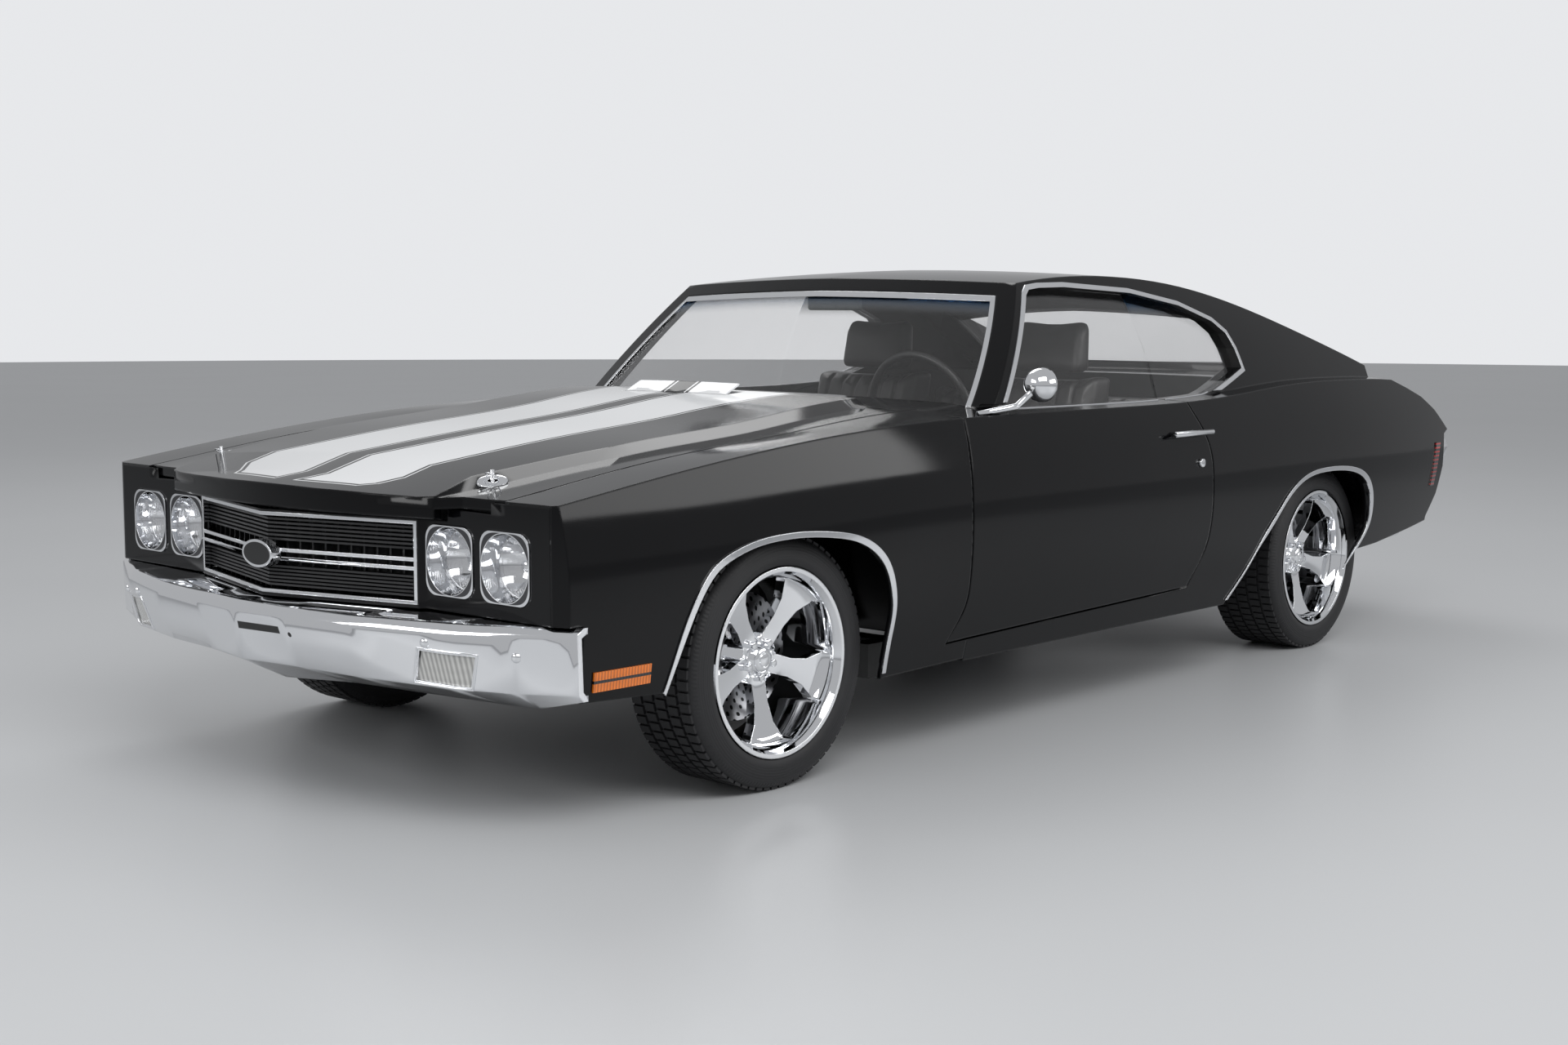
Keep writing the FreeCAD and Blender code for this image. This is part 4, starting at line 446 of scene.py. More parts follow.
def paint_finish(name, colours, sizes, striped=False):
    paint = Finish(name, colours.paint, 0.06, ior=1.32)
    paint.worn(0.04, 0.09, 6.0)
    paint.bump(paint.noise(900.0, 1.0), 0.05, 0.0002, 0.007)
    if not striped:
        paint.colour(paint.noise(4.0, 2.0), colours.paint, scaled(colours.paint, 1.8))
        return
    x, y, z = paint.place()
    off = abs(y)
    outer = (FLARE_START - x).highest(0.0) * FLARE + sizes.stripe_outer
    front = sizes.stripe_front - x - off * STRIPE_SWEEP
    corner = ((outer - off) + front - sizes.stripe_corner * 1.4) * math.sqrt(0.5)
    inside = (off - sizes.stripe_inner).lowest(outer - off).lowest(front).lowest(corner)
    fill_from = sizes.pin_line + sizes.pin_gap
    white = inside.between(0.0, sizes.pin_line) + inside.step(fill_from)
    paint.colour(white, colours.paint, colours.stripe)


def chrome_finish(name, colours, low=0.03, high=0.09, round_off=0.003):
    bright = Finish(name, colours.chrome, 0.05, 1.0)
    bright.worn(low, high, 14.0)
    bright.bump(bright.noise(60.0, 2.0), 0.03, 0.0004, round_off)
    return bright


def plastic_finish(name, base, low, high, grain, strength):
    plastic = Finish(name, base, low)
    plastic.worn(low, high, 20.0)
    plastic.colour(plastic.noise(35.0), base, scaled(base, 1.7, 0.003))
    plastic.bump(plastic.noise(grain, 2.0), strength, 0.0004)


def metal_finish(name, base, low, high):
    metal = Finish(name, base, low, 0.9)
    metal.worn(low, high, METAL_SCALE)
    metal.colour(metal.noise(METAL_SCALE / 3, 4.0), base, scaled(base, 1.35))
    metal.bump(metal.noise(METAL_SCALE * 6), 0.2, 0.0006)


def clear_through(finish, lost, tint=None, share=None):
    """Makes a finish see-through: it mirrors more at a flat angle, and a share of light is lost in it."""
    slant = finish.node("ShaderNodeLayerWeight", None, {"Blend": 0.5}, "Facing")
    mirrored = slant.math("POWER", 5.0) * 0.96 + 0.04
    cover = mirrored + lost
    colour = mirrored / cover
    if tint:
        cover = cover + share * 0.42
        colour = finish.mix(share, colour, tint)
    finish.feed("Base Color", colour)
    finish.feed("Alpha", cover.lowest(0.96))
    finish.material.surface_render_method = "BLENDED"


def glass_finish(name, lost, band=None):
    """Thin clear glass, with a blue band along its top if its height is given."""
    glass = Finish(name, (1.0, 1.0, 1.0), 0.0, 1.0)
    if band:
        x, y, z = glass.place()
        shade = (z + y * y * 0.05).step(band, 0.03)
        clear_through(glass, lost, (0.015, 0.10, 0.22), shade)
    else:
        clear_through(glass, lost)
    glass.feed("Roughness", glass.noise(3.0) * 0.02)


def ribbed(lens, ribs, depth, axis):
    """Presses fine crossed ribs into a lens and gives back their wave."""
    parts = lens.place()
    wave = (parts[axis] * ribs).sin()
    rows = (parts[2] * ribs * 0.5).sin()
    lens.bump(wave + rows * 0.6, 0.6, depth)
    return wave, parts


def clear_lens_finish(name, lost, ribs, depth):
    """Clear moulded lens glass with fine ribs."""
    lens = Finish(name, (1.0, 1.0, 1.0), 0.02, 1.0)
    ribbed(lens, ribs, depth, 1)
    lens.worn(0.01, 0.05, 30.0)
    clear_through(lens, lost)


def lens_finish(name, base, ribs, depth, axis=1, dark=None):
    """Coloured lens plastic with fine ribs, painted darker along each rib's wave as shade, and dark where a
    share of its place says so.
    """
    lens = Finish(name, base, 0.12, ior=1.5, coat_weight=0.6)
    wave, parts = ribbed(lens, ribs, depth, axis)
    lens.worn(0.05, 0.16, 30.0)
    # Painted shade: the colour darkens along half of each rib's wave, standing for light and shade across
    # the ribs.
    shade = lens.mix(wave * 0.5 + 0.5, scaled(base, 0.55), base)
    if dark:
        shade = lens.mix(dark(*parts), shade, NEAR_BLACK)
    lens.feed("Base Color", shade)


def grille_chrome(name, colours):
    """Chrome, with a black face inside the blank badge's bright edge."""
    bright = chrome_finish(name, colours)
    x, y, z = bright.place()
    across, up = y * (1 / BADGE_HALVES[0]), (z - BADGE_HEIGHT) * (1 / BADGE_HALVES[1])
    edge = (across * across + up * up).step(1.0, 0.06)
    bright.colour(edge, (0.006, 0.006, 0.006), colours.chrome)
    bright.feed("Metallic", edge)


def bezel_chrome(name, colours):
    """Dark chrome with a bright ring round the lens and a bright rim."""
    bright = chrome_finish(name, colours, 0.02, 0.06, 0.001)
    x, y, z = bright.place()
    outer, inner = LAMP_LINES
    across = abs(abs(y) - (outer + inner) / 2) - (outer - inner) / 2
    up = z - LAMP_HEIGHT
    square, rise = across * across, up * up
    ring = 1.0 - distance(across, up).step(LENS_RADIUS)
    rim = (square * square + rise * rise).math("POWER", 0.25).step(LENS_RADIUS - 0.0005, 0.0008)
    shade = (ring + rim).lowest(1.0)
    bright.colour(shade, (0.10, 0.10, 0.105), colours.chrome)


def bumper_chrome(name, colours):
    """Chrome, with the slot and hole beside the bumper's middle painted near-black and not metallic, as
    painted shade standing for the openings.
    """
    bright = chrome_finish(name, colours)
    x, y, z = bright.place()
    slot_shade_mask = y.between(*SLOT_ACROSS, 0.001) * z.between(*SLOT_UP, 0.001)
    away, up = y - SLOT_HOLE[0], z - SLOT_HOLE[1]
    hole_shade_mask = 1.0 - distance(away, up).step(SLOT_HOLE[2])
    # Painted shade: the slot and hole are not cut; they are coloured near-black and not metallic where the
    # openings would show shade.
    gap = ((slot_shade_mask + hole_shade_mask) * x.step(BUMPER_FACE)).lowest(1.0)
    bright.colour(gap, colours.chrome, NEAR_BLACK)
    bright.feed("Metallic", 1.0 - gap)


def leather_finish(name, base):
    leather = Finish(name, base, 0.4, coat_weight=0.15)
    inputs = {"Vector": leather.spot(), "Scale": 260.0}
    cells = leather.node("ShaderNodeTexVoronoi", {"feature": "DISTANCE_TO_EDGE"}, inputs)
    grain = cells.lowest(0.12) * 4.0 + leather.noise(900.0, 2.0) * 0.3
    leather.colour(leather.noise(7.0, 4.0), base, scaled(base, 2.2))
    leather.feed("Roughness", leather.noise(12.0) * 0.2 + 0.34)
    leather.bump(grain, 0.35, 0.0006)


def rubber_finish(name, base, centre):
    rubber = Finish(name, base, 0.62)
    radius, _, angle = distance_from_middle(rubber, centre)
    rings = (radius * 900.0).sin() * radius.between(*RING_RADII, 0.002)
    ribs = (angle * 180.0).sin() * radius.between(*RIB_RADII, 0.001)
    dust = rubber.noise(18.0, 5.0)
    rubber.colour(dust, base, scaled(base, 1.8, 0.002))
    rubber.feed("Roughness", dust * 0.2 + 0.5)
    rubber.bump(rings * 0.25 + ribs * 0.6 + rubber.noise(500.0, 2.0) * 0.4, 0.5, 0.0008)


def wheel_finish(name, colours, centre, outer_y):
    """Chrome, with a drilled steel disc behind the spokes, its drilled holes painted near-black as shade.
    """
    wheel = Finish(name, colours.chrome, 0.05, 1.0)
    radius, along, angle = distance_from_middle(wheel, centre)
    inward = along * -math.copysign(1.0, outer_y) + abs(outer_y)
    disc = inward.step(DISC_DEPTH, 0.002) * radius.between(*DISC_RADII, 0.001)
    holes = (angle * 24.0 + radius * 90.0).sin() * (radius * 180.0).sin()
    # Painted shade: the drilled holes are not cut; they are coloured near-black where the openings would
    # show shade, and pressed in by the bump.
    hole_shade_mask = holes.step(0.55, 0.08) * disc
    steel = wheel.mix(wheel.noise(120.0), (0.30, 0.30, 0.31), (0.42, 0.42, 0.43))
    base = wheel.mix(disc, colours.chrome, steel)
    wheel.colour(hole_shade_mask, base, (0.01, 0.01, 0.01))
    wheel.feed("Roughness", disc * 0.24 + wheel.noise(14.0) * 0.05 + 0.02)
    wheel.bump(wheel.noise(60.0, 2.0) - hole_shade_mask * 4.0, 0.04, 0.0006, 0.003)


def basis(count, steps):
    """Rows of weights that draw a clamped even cubic through this many poles."""
    inner = count - 4
    knots = [0.0] * 4 + [i / (inner + 1) for i in range(1, inner + 1)] + [1.0] * 4
    rows = []
    for step in range(steps + 1):
        t = min(step / steps, 1 - 1e-9)
        weights = [1.0 if knots[i] <= t < knots[i + 1] else 0.0 for i in range(len(knots) - 1)]
        for degree in (1, 2, 3):
            raised = []
            for i in range(len(weights) - 1):
                low, high = knots[i + degree] - knots[i], knots[i + degree + 1] - knots[i + 1]
                left = (t - knots[i]) / low * weights[i] if low else 0.0
                right = (knots[i + degree + 1] - t) / high * weights[i + 1] if high else 0.0
                raised.append(left + right)
            weights = raised
        rows.append(weights)
    return rows


def drawn_out(rows):
    """Inner poles moved out by a sixth of the net's bend, along both ways of the net."""
    for turn in range(2):
        rows = [list(row) for row in zip(*rows)]
        first = [list(row) for row in rows]
        for j in range(1, len(rows) - 1):
            for i in range(len(rows[0])):
                bend = rows[j - 1][i] - rows[j][i] * 2 + rows[j + 1][i]
                first[j][i] = rows[j][i] - bend / 6
        rows = first
    return rows


class Skin:
    """A smooth body surface, kept as a fine mesh for its normals."""

    def __init__(self, rows, outward):
        poles = drawn_out(rows)
        along, across = SKIN_CELLS
        first, second = basis(len(poles), along), basis(len(poles[0]), across)
        self.bm = bmesh.new()
        bmesh.ops.create_grid(self.bm, x_segments=along, y_segments=across, size=0.5)
        for vert in self.bm.verts:
            us = first[round((vert.co.x + 0.5) * along)]
            vs = second[round((vert.co.y + 0.5) * across)]
            place = Vector()
            for u, row in zip(us, poles):
                if u:
                    for v, pole in zip(vs, row):
                        if v:
                            place += pole * (u * v)
            vert.co = place
        self.bm.normal_update()
        self.bm.faces.ensure_lookup_table()
        middle = self.bm.faces[len(self.bm.faces) // 2]
        if middle.normal.dot(Vector(outward)) < 0:
            bmesh.ops.reverse_faces(self.bm, faces=self.bm.faces)
            self.bm.normal_update()
        self.tree = bvhtree.BVHTree.FromBMesh(self.bm)
        self.bm.faces.ensure_lookup_table()

    def at(self, point, reach):
        """The surface's normal beside a point of either side of the car, or None out of reach."""
        side = -1.0 if point.y < 0 else 1.0
        spot, _, index, gap = self.tree.find_nearest(Vector((point.x, abs(point.y), point.z)), reach)
        if spot is None:
            return None
        verts = self.bm.faces[index].verts
        weights = interpolate.poly_3d_calc([vert.co for vert in verts], spot)
        normal = sum((vert.normal * weight for vert, weight in zip(verts, weights)), Vector())
        normal.y *= side
        return normal.normalized()


SKINS = []


def net(stations, rows):
    """The poles of a skin, from its stations and rows of shares across and heights."""
    return [
        [Vector((station * HALF_LENGTH, HALF_WIDTH * across, up)) for across, up in row]
        for station, row in zip(stations, rows)
    ]


def body_skins():
    """The four smooth surfaces that the body panels are cut from, made once."""
    if not SKINS:
        side = [
            [(w / 1000, BELT * level) for w, level in zip(widths, SIDE_LEVELS)] for widths in SIDE_WIDTHS
        ]
        top = [
            [(place, BELT * (h / 1000)) for place, h in zip(TOP_PLACES, heights)] for heights in TOP_HEIGHTS
        ]
        crown = list(zip(ROOF_PLACES, ROOF_CROWN))
        roof = [[(place, ROOF * (line + rise)) for place, rise in crown] for line in ROOF_LINE]
        cab_side = list(zip(CAB_WIDTHS, CAB_LEVELS))
        cab = [[(w * taper, BELT * level) for w, level in cab_side] for taper in CAB_TAPER]
        SKINS.append(Skin(net(SIDE_STATIONS, side), LEFT))
        SKINS.append(Skin(net(TOP_STATIONS, top), UP))
        SKINS.append(Skin(net(ROOF_STATIONS, roof), UP))
        SKINS.append(Skin(net(CAB_STATIONS, cab), LEFT))
    return SKINS


def linked(name, data):
    """A new object of the scene."""
    made = bpy.data.objects.new(name, data)
    bpy.context.scene.collection.objects.link(made)
    return made


def mesh_from(bm, name):
    """A mesh made from a shape, which is let go."""
    mesh = bpy.data.meshes.new(name)
    bm.to_mesh(mesh)
    bm.free()
    return mesh


def joined(target, shape):
    """Adds a shape to another."""
    mesh = mesh_from(shape, "shape")
    target.from_mesh(mesh)
    bpy.data.meshes.remove(mesh)


def add_piece(bm, name, body, finish, smooth=30.0):
    """A finished piece from a shape, riding on a body."""
    mesh = mesh_from(bm, name)
    piece = linked(name, mesh)
    mesh.materials.append(Finish.made[finish].material)
    for face in mesh.polygons:
        face.use_smooth = True
    mesh.set_sharp_from_angle(angle=math.radians(smooth))
    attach(piece, body)
    return piece


def bright_piece(bm, name, body="body"):
    """A small chrome piece."""
    return add_piece(bm, name, body, "chrome", 60.0)


def merged_copy(node):
    """A copy of a node's mesh with its loose triangles joined."""
    bm = bmesh.new()
    bm.from_mesh(NODES[node].data)
    for face in bm.faces:
        face.material_index = 0
    bmesh.ops.remove_doubles(bm, verts=bm.verts, dist=0.00002)
    return bm


def dressed(node, finish, smooth=30.0):
    """A smooth copy of a node with a finish, standing for the node."""
    piece = add_piece(merged_copy(node), node + "_dressed", NODES[node]["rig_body"], finish, smooth)
    if "custom_normal" in piece.data.attributes:
        piece.data.attributes.remove(piece.data.attributes["custom_normal"])
    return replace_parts(piece, node)


def second_finish(piece, finish, chosen):
    """Gives the faces that a test picks out a second finish."""
    piece.data.materials.append(Finish.made[finish].material)
    for face in piece.data.polygons:
        if chosen(face.center, face.normal):
            face.material_index = 1


def set_in(target, shape, spot, way):
    """Adds a shape made about the Y axis to another, with its +Y turned along a direction at a spot."""
    turn = Vector(LEFT).rotation_difference(Vector(way)).to_matrix().to_4x4()
    bmesh.ops.recalc_face_normals(shape, faces=shape.faces)
    bmesh.ops.transform(shape, matrix=Matrix.Translation(spot) @ turn, verts=shape.verts)
    joined(target, shape)


def piped(target, points, radius, closed=False):
    """Adds a round bar along points to a shape."""
    curve = bpy.data.curves.new("bar", "CURVE")
    curve.dimensions = "3D"
    curve.bevel_depth, curve.bevel_resolution, curve.use_fill_caps = radius, 3, True
    spline = curve.splines.new("POLY")
    spline.points.add(len(points) - 1)
    for point, place in zip(spline.points, points):
        point.co = (*place, 1)
    spline.use_cyclic_u = closed
    bar = bpy.data.objects.new("bar", curve)
    mesh = bpy.data.meshes.new_from_object(bar)
    target.from_mesh(mesh)
    bpy.data.objects.remove(bar)
    bpy.data.curves.remove(curve)
    bpy.data.meshes.remove(mesh)


def met(node, start, way):
    """Where a straight line first meets a node, and the node's direction there."""
    bm = merged_copy(node)
    tree = bvhtree.BVHTree.FromBMesh(bm)
    spot, normal, _, _ = tree.ray_cast(Vector(start), Vector(way))
    bm.free()
    return spot, normal


def in_cabin(point, way):
    """Whether a face lies round the cabin and looks into it."""
    back, front, side, low, high = CABIN_BOX
    around = back < point.x < front and abs(point.y) < side and low < point.z < high
    return around and way.dot(CABIN_MIDDLE - point) > 0


def painted(node, finish, lining=None):
    """A panel with the smooth skins' own normals, and lining on its faces inside the cabin."""
    piece = dressed(node, finish, 20.0)
    mesh = piece.data
    if lining:
        mesh.materials.append(Finish.made[lining].material)
    normals = [corner.vector.copy() for corner in mesh.corner_normals]
    found = [[skin.at(vert.co, SKIN_REACH) for skin in body_skins()] for vert in mesh.vertices]
    for face in mesh.polygons:
        flat = face.normal.copy()
        closest, matched = math.cos(math.radians(SKIN_ANGLE)), False
        for curved in zip(*(found[vert] for vert in face.vertices)):
            if None in curved:
                continue
            likeness = sum(normal.dot(flat) for normal in curved) / len(curved)
            if likeness > closest:
                closest, matched = likeness, True
                for loop, normal in zip(face.loop_indices, curved):
                    normals[loop] = normal
        if lining and not matched and in_cabin(face.center, flat):
            face.material_index = 1
    mesh.normals_split_custom_set([tuple(normal) for normal in normals])


def bare(node, finish):
    """A node that keeps its own mesh, with a new material."""
    mesh = NODES[node].data
    mesh.materials.clear()
    mesh.materials.append(Finish.made[finish].material)


def turn_to_axis(bm, centre, side):
    """Moves a shape spun about the Y axis at the origin to a wheel, its outer side outward."""
    bmesh.ops.scale(bm, vec=(1, side, 1), verts=bm.verts)
    bmesh.ops.translate(bm, vec=centre, verts=bm.verts)
    bmesh.ops.recalc_face_normals(bm, faces=bm.faces)


def spun_profile(profile, steps, closed=False):
    """A shape turned about the Y axis from (radius, y) pairs."""
    bm = bmesh.new()
    verts = [bm.verts.new((0, y, radius)) for radius, y in profile]
    edges = [bm.edges.new(pair) for pair in zip(verts, verts[1:])]
    if closed:
        edges.append(bm.edges.new((verts[-1], verts[0])))
    spin = dict(cent=(0, 0, 0), axis=LEFT, angle=math.tau, steps=steps, use_merge=True)
    bmesh.ops.spin(bm, geom=verts + edges, **spin)
    bmesh.ops.remove_doubles(bm, verts=bm.verts, dist=0.00001)
    return bm


def bar_ring(radius, half, steps):
    """A ring of round bar about the Y axis."""
    turns = [math.tau * step / 12 for step in range(12)]
    profile = [(radius + half * math.cos(turn), half * math.sin(turn)) for turn in turns]
    return spun_profile(profile, steps, True)


def extruded(bm, faces):
    """Extrudes faces and gives back the new vertices."""
    made = bmesh.ops.extrude_face_region(bm, geom=faces)
    return [item for item in made["geom"] if isinstance(item, bmesh.types.BMVert)]


def tyre_shape(width, sizes):
    """A tyre with ribbed walls and raised tread blocks; its outer wall bulges past y = 0."""
    low = TYRE_RADIUS - sizes.tread_depth
    far = width - WALL_BULGE * 2
    rib = (far - TREAD_EDGE * 2 - TREAD_GROOVE * (TREAD_RIBS - 1)) / TREAD_RIBS
    pitch = rib + TREAD_GROOVE
    tread = []
    for index in range(TREAD_RIBS):
        start = -TREAD_EDGE - pitch * index
        tread += [(low, start), (low, start - rib)]
    back = [(radius, -far - y) for radius, y in reversed(TYRE_WALL)]
    steps = sizes.tread_pitches * 4
    bm = spun_profile([*TYRE_WALL, *tread, *back], steps)
    raised = []
    for face in bm.faces:
        middle = face.calc_center_median()
        offset = (-TREAD_EDGE - middle.y) / pitch
        on_rib = 0 <= offset < TREAD_RIBS and offset % 1 * pitch <= rib
        if abs(math.hypot(middle.x, middle.z) - low) > 0.0015 or not on_rib:
            continue
        step = math.floor(math.atan2(middle.x, middle.z) % math.tau / math.tau * steps)
        if (step + int(offset) % 2 * 2) % 4:
            raised.append(face)
    for vert in extruded(bm, raised):
        grow = (TYRE_RADIUS - 0.0002) / math.hypot(vert.co.x, vert.co.z)
        vert.co.x *= grow
        vert.co.z *= grow
    bmesh.ops.delete(bm, geom=raised, context="FACES")
    return bm


def nut_shapes(circle):
    """Five hexagonal wheel nuts on a circle about the Y axis."""
    bm = bmesh.new()
    turn = Matrix.Rotation(-math.pi / 2, 4, "X")
    size = dict(radius1=NUT_RADIUS, radius2=NUT_RADIUS, depth=NUT_HEIGHT)
    for index in range(5):
        angle = math.tau * (index + 0.5) / 5
        made = bmesh.ops.create_cone(bm, cap_ends=True, segments=6, matrix=turn, **size)
        spot = (math.sin(angle) * circle, NUT_FACE + 0.006, math.cos(angle) * circle)
        bmesh.ops.translate(bm, vec=spot, verts=made["verts"])
    bevel = dict(offset=0.0014, segments=2, affect="EDGES", profile=0.5, material=-1)
    bmesh.ops.bevel(bm, geom=list(bm.edges), **bevel)
    return bm


def pad_block(outline, half, round_off, inset=0.0):
    """A block over a side outline with round edges, drawn in all round by an inset."""
    bm = bmesh.new()
    bm.faces.new([bm.verts.new((FRONT_AXLE + x, -half, z)) for x, z in outline])
    bmesh.ops.translate(bm, vec=(0, half * 2, 0), verts=extruded(bm, list(bm.faces)))
    bmesh.ops.recalc_face_normals(bm, faces=bm.faces)
    low = [min(vert.co[axis] for vert in bm.verts) for axis in range(3)]
    high = [max(vert.co[axis] for vert in bm.verts) for axis in range(3)]
    middle = Vector([(a + b) / 2 for a, b in zip(low, high)])
    shrink = [1 - 2 * inset / (b - a) for a, b in zip(low, high)]
    bmesh.ops.scale(bm, vec=shrink, space=Matrix.Translation(-middle), verts=bm.verts)
    bevel = dict(offset=round_off, segments=4, affect="EDGES", profile=0.5, material=-1)
    bmesh.ops.bevel(bm, geom=list(bm.edges), clamp_overlap=True, **bevel)
    return bm


def applied(piece):
    """Puts a piece's modifiers into its mesh."""
    shape = bpy.data.meshes.new_from_object(piece.evaluated_get(bpy.context.evaluated_depsgraph_get()))
    piece.modifiers.clear()
    piece.data = shape
    return shape


def cushion(name, outline, half, puff, sizes):
    """A cushion's mesh: a round block, remeshed, blown up as cloth by a share, and divided once."""
    scene = bpy.context.scene
    pad = linked(name, mesh_from(pad_block(outline, half, PAD_ROUND, PAD_INSET), name))
    remesh = pad.modifiers.new("remesh", "REMESH")
    remesh.mode, remesh.voxel_size = "VOXEL", sizes.pad_voxel
    start = [vert.co.copy() for vert in applied(pad).vertices]
    cloth = pad.modifiers.new("cloth", "CLOTH")
    cloth.settings.use_pressure = True
    cloth.settings.uniform_pressure_force = sizes.pad_pressure
    cloth.settings.effector_weights.gravity = 0.0
    cloth.point_cache.frame_start, cloth.point_cache.frame_end = 1, PAD_FRAMES
    for moment in range(1, PAD_FRAMES + 1):
        scene.frame_set(moment)
    for vert, place in zip(applied(pad).vertices, start):
        step = vert.co - place
        reach = min(1.0, sizes.pad_reach / max(step.length, 1e-6))
        vert.co = place + step * (reach * puff)
    scene.frame_set(1)
    fine = pad.modifiers.new("fine", "SUBSURF")
    fine.levels = fine.render_levels = 1
    shape = applied(pad)
    bpy.data.objects.remove(pad)
    return shape


def sew_channels(mesh, half, channels, facing, sizes):
    """Presses the seams and sewn channels into the side of a cushion that faces the sitter."""
    edge, count = channels
    lines = [edge * (2 * index / count - 1) for index in range(count + 1)] if count else []
    normals = [vert.normal.copy() for vert in mesh.vertices]
    for vert, normal in zip(mesh.vertices, normals):
        share = min(1.0, max(0.0, normal.dot(facing) * 2.5 - 0.9))
        deep = 0.0
        for line in lines:
            gap = abs(vert.co.y - line) / CHANNEL_WIDTH
            wide = 1.4 if abs(abs(line) - edge) < 0.001 else 1.0
            deep = max(deep, wide * math.exp(-gap * gap))
        seam = (abs(vert.co.y) - (half - 0.020)) / CHANNEL_WIDTH
        deep = max(deep * share, 0.5 * math.exp(-seam * seam))
        vert.co -= normal * (sizes.channel_depth * deep)


def rear_marker_slats(x, y, z):
    """Dark slats over the rear side markers, beyond the tail lamps."""
    return abs(y).step(TAIL_MARKERS) * (z * 420.0).sin().step(-0.35, 0.1)


def make_finishes(colours, sizes):
    paint_finish("gloss_black", colours, sizes)
    paint_finish("striped_black", colours, sizes, True)
    chrome_finish("chrome", colours)
    chrome_finish("lamp_reflector", colours, 0.02, 0.05)
    for plastic in PLASTICS:
        plastic_finish(*plastic)
    for metal in METALS:
        metal_finish(*metal)
    leather_finish("seat_leather", colours.leather)
    leather_finish("grip_leather", (0.010, 0.010, 0.010))
    glass_finish("side_glass", 0.018)
    glass_finish("screen_glass", 0.022, 1.215)
    clear_lens_finish("headlamp_lens", 0.05, 420.0, 0.0008)
    lens_finish("parking_lens", (0.62, 0.62, 0.60), 520.0, 0.0008)
    lens_finish("amber_lens", colours.amber, 700.0, 0.0006, 0, lambda x, y, z: z.between(*MARKER_LINE))
    lens_finish("red_lens", colours.red, 420.0, 0.0006, 1, rear_marker_slats)
    grille_chrome("grille_bright", colours)
    bezel_chrome("bezel_bright", colours)
    bumper_chrome("bumper_bright", colours)
    mirror = Finish("mirror_glass", (0.86, 0.88, 0.90), 0.01, 1.0)
    mirror.feed("Roughness", mirror.noise(5.0) * 0.02)


class CAR_OT_finishes(bpy.types.Operator):
    """Make up the materials of the car"""

    bl_idname = "car.finishes"
    bl_label = "Finishes"

    def execute(self, context):
        make_finishes(context.scene.car_colours, context.scene.car_sizes)
        return {"FINISHED"}


class CAR_OT_panels(bpy.types.Operator):
    """Dress the painted body panels, doors, hood and lid"""

    bl_idname = "car.panels"
    bl_label = "Body panels"

    def execute(self, context):
        for node in ("body_shell", "door_left", "door_right"):
            painted(node, "gloss_black", "dash_vinyl")
        for node in ("fender_left", "fender_right", "trunk_lid"):
            painted(node, "gloss_black")
        for node in ("hood", "induction_flap"):
            painted(node, "striped_black")
        dressed("front_panel", "gloss_black")
        return {"FINISHED"}


def sill_strip(node, side, ends, name, body):
    """A bright strip along the top of a door or quarter, beside the glass."""
    back, front = ends
    line = []
    for step in range(SILL_STEPS + 1):
        x = FRONT_AXLE + back + (front - back) * step / SILL_STEPS
        line.append(met(node, (x, side * SILL_LINE, SILL_ABOVE), DOWN)[0])
    strip = bmesh.new()
    piped(strip, line, SILL_BAR)
    bright_piece(strip, name, body)


def bumper_fittings():
    """The bumper's bolts and the frames round its parking lamps."""
    bolts, frames = bmesh.new(), bmesh.new()
    for side in (1, -1):
        for y, z in BUMPER_BOLTS:
            set_in(bolts, spun_profile(BOLT_DOME, 32), *met("front_bumper", (AHEAD, side * y, z), BACK))
        line = []
        for (y, z), (next_y, next_z) in zip(PARKING_FRAME, PARKING_FRAME[1:] + PARKING_FRAME[:1]):
            for share in (0.0, 0.25, 0.5, 0.75):
                spot = (AHEAD, side * (y + (next_y - y) * share), z + (next_z - z) * share)
                line.append(met("front_bumper", spot, BACK)[0])
        piped(frames, line, PARKING_BAR, True)
    bright_piece(bolts, "bumper_bolts")
    bright_piece(frames, "parking_lamp_frames")


def hood_pin_fittings():
    """The oval plates of the hood pins and their ring clips."""
    plates, clips = bmesh.new(), bmesh.new()
    x, y = PIN_PLACE
    for side in (1, -1):
        spot, way = met("hood", (x + 0.02, side * y, ABOVE), DOWN)
        plate = spun_profile(PIN_PLATE, 48)
        bmesh.ops.scale(plate, vec=(1.75, 1, 1), verts=plate.verts)
        spot.x = x
        spot.z = met("hood", (x - 0.014, spot.y, ABOVE), DOWN)[0].z
        set_in(plates, plate, spot, way)
        tilt = Vector((-0.45, 0.0, 0.9)).normalized()
        set_in(clips, bar_ring(0.017, 0.0014, 40), spot + Vector((0.0, 0.0, 0.014)), tilt)
    add_piece(plates, "hood_pin_plates", "hood", "chrome", 50.0)
    bright_piece(clips, "hood_pin_clips", "hood")


class CAR_OT_brightwork(bpy.types.Operator):
    """Dress bumpers, trim, grille and handles"""

    bl_idname = "car.brightwork"
    bl_label = "Bright metal"

    def execute(self, context):
        for node in ("rear_bumper", "window_trims", "arch_trims", "hood_pins", "door_fittings_right"):
            dressed(node, "chrome")
        handle = dressed("door_fittings_left", "chrome")
        second_finish(handle, "mirror_glass", lambda place, way: way.x < -0.99 and place.z > 0.93)
        dressed("front_bumper", "bumper_bright")
        dressed("grille_trim", "grille_bright")
        dressed("headlamp_bezels", "bezel_bright")
        dressed("grille_bars", "grille_black")
        bumper_fittings()
        for side, name in ((1, "left"), (-1, "right")):
            sill_strip("door_" + name, side, DOOR_SILL, "sill_strip_" + name, name + "_door")
            sill_strip("body_shell", side, QUARTER_SILL, "quarter_sill_strip_" + name, "body")
        hood_pin_fittings()
        return {"FINISHED"}


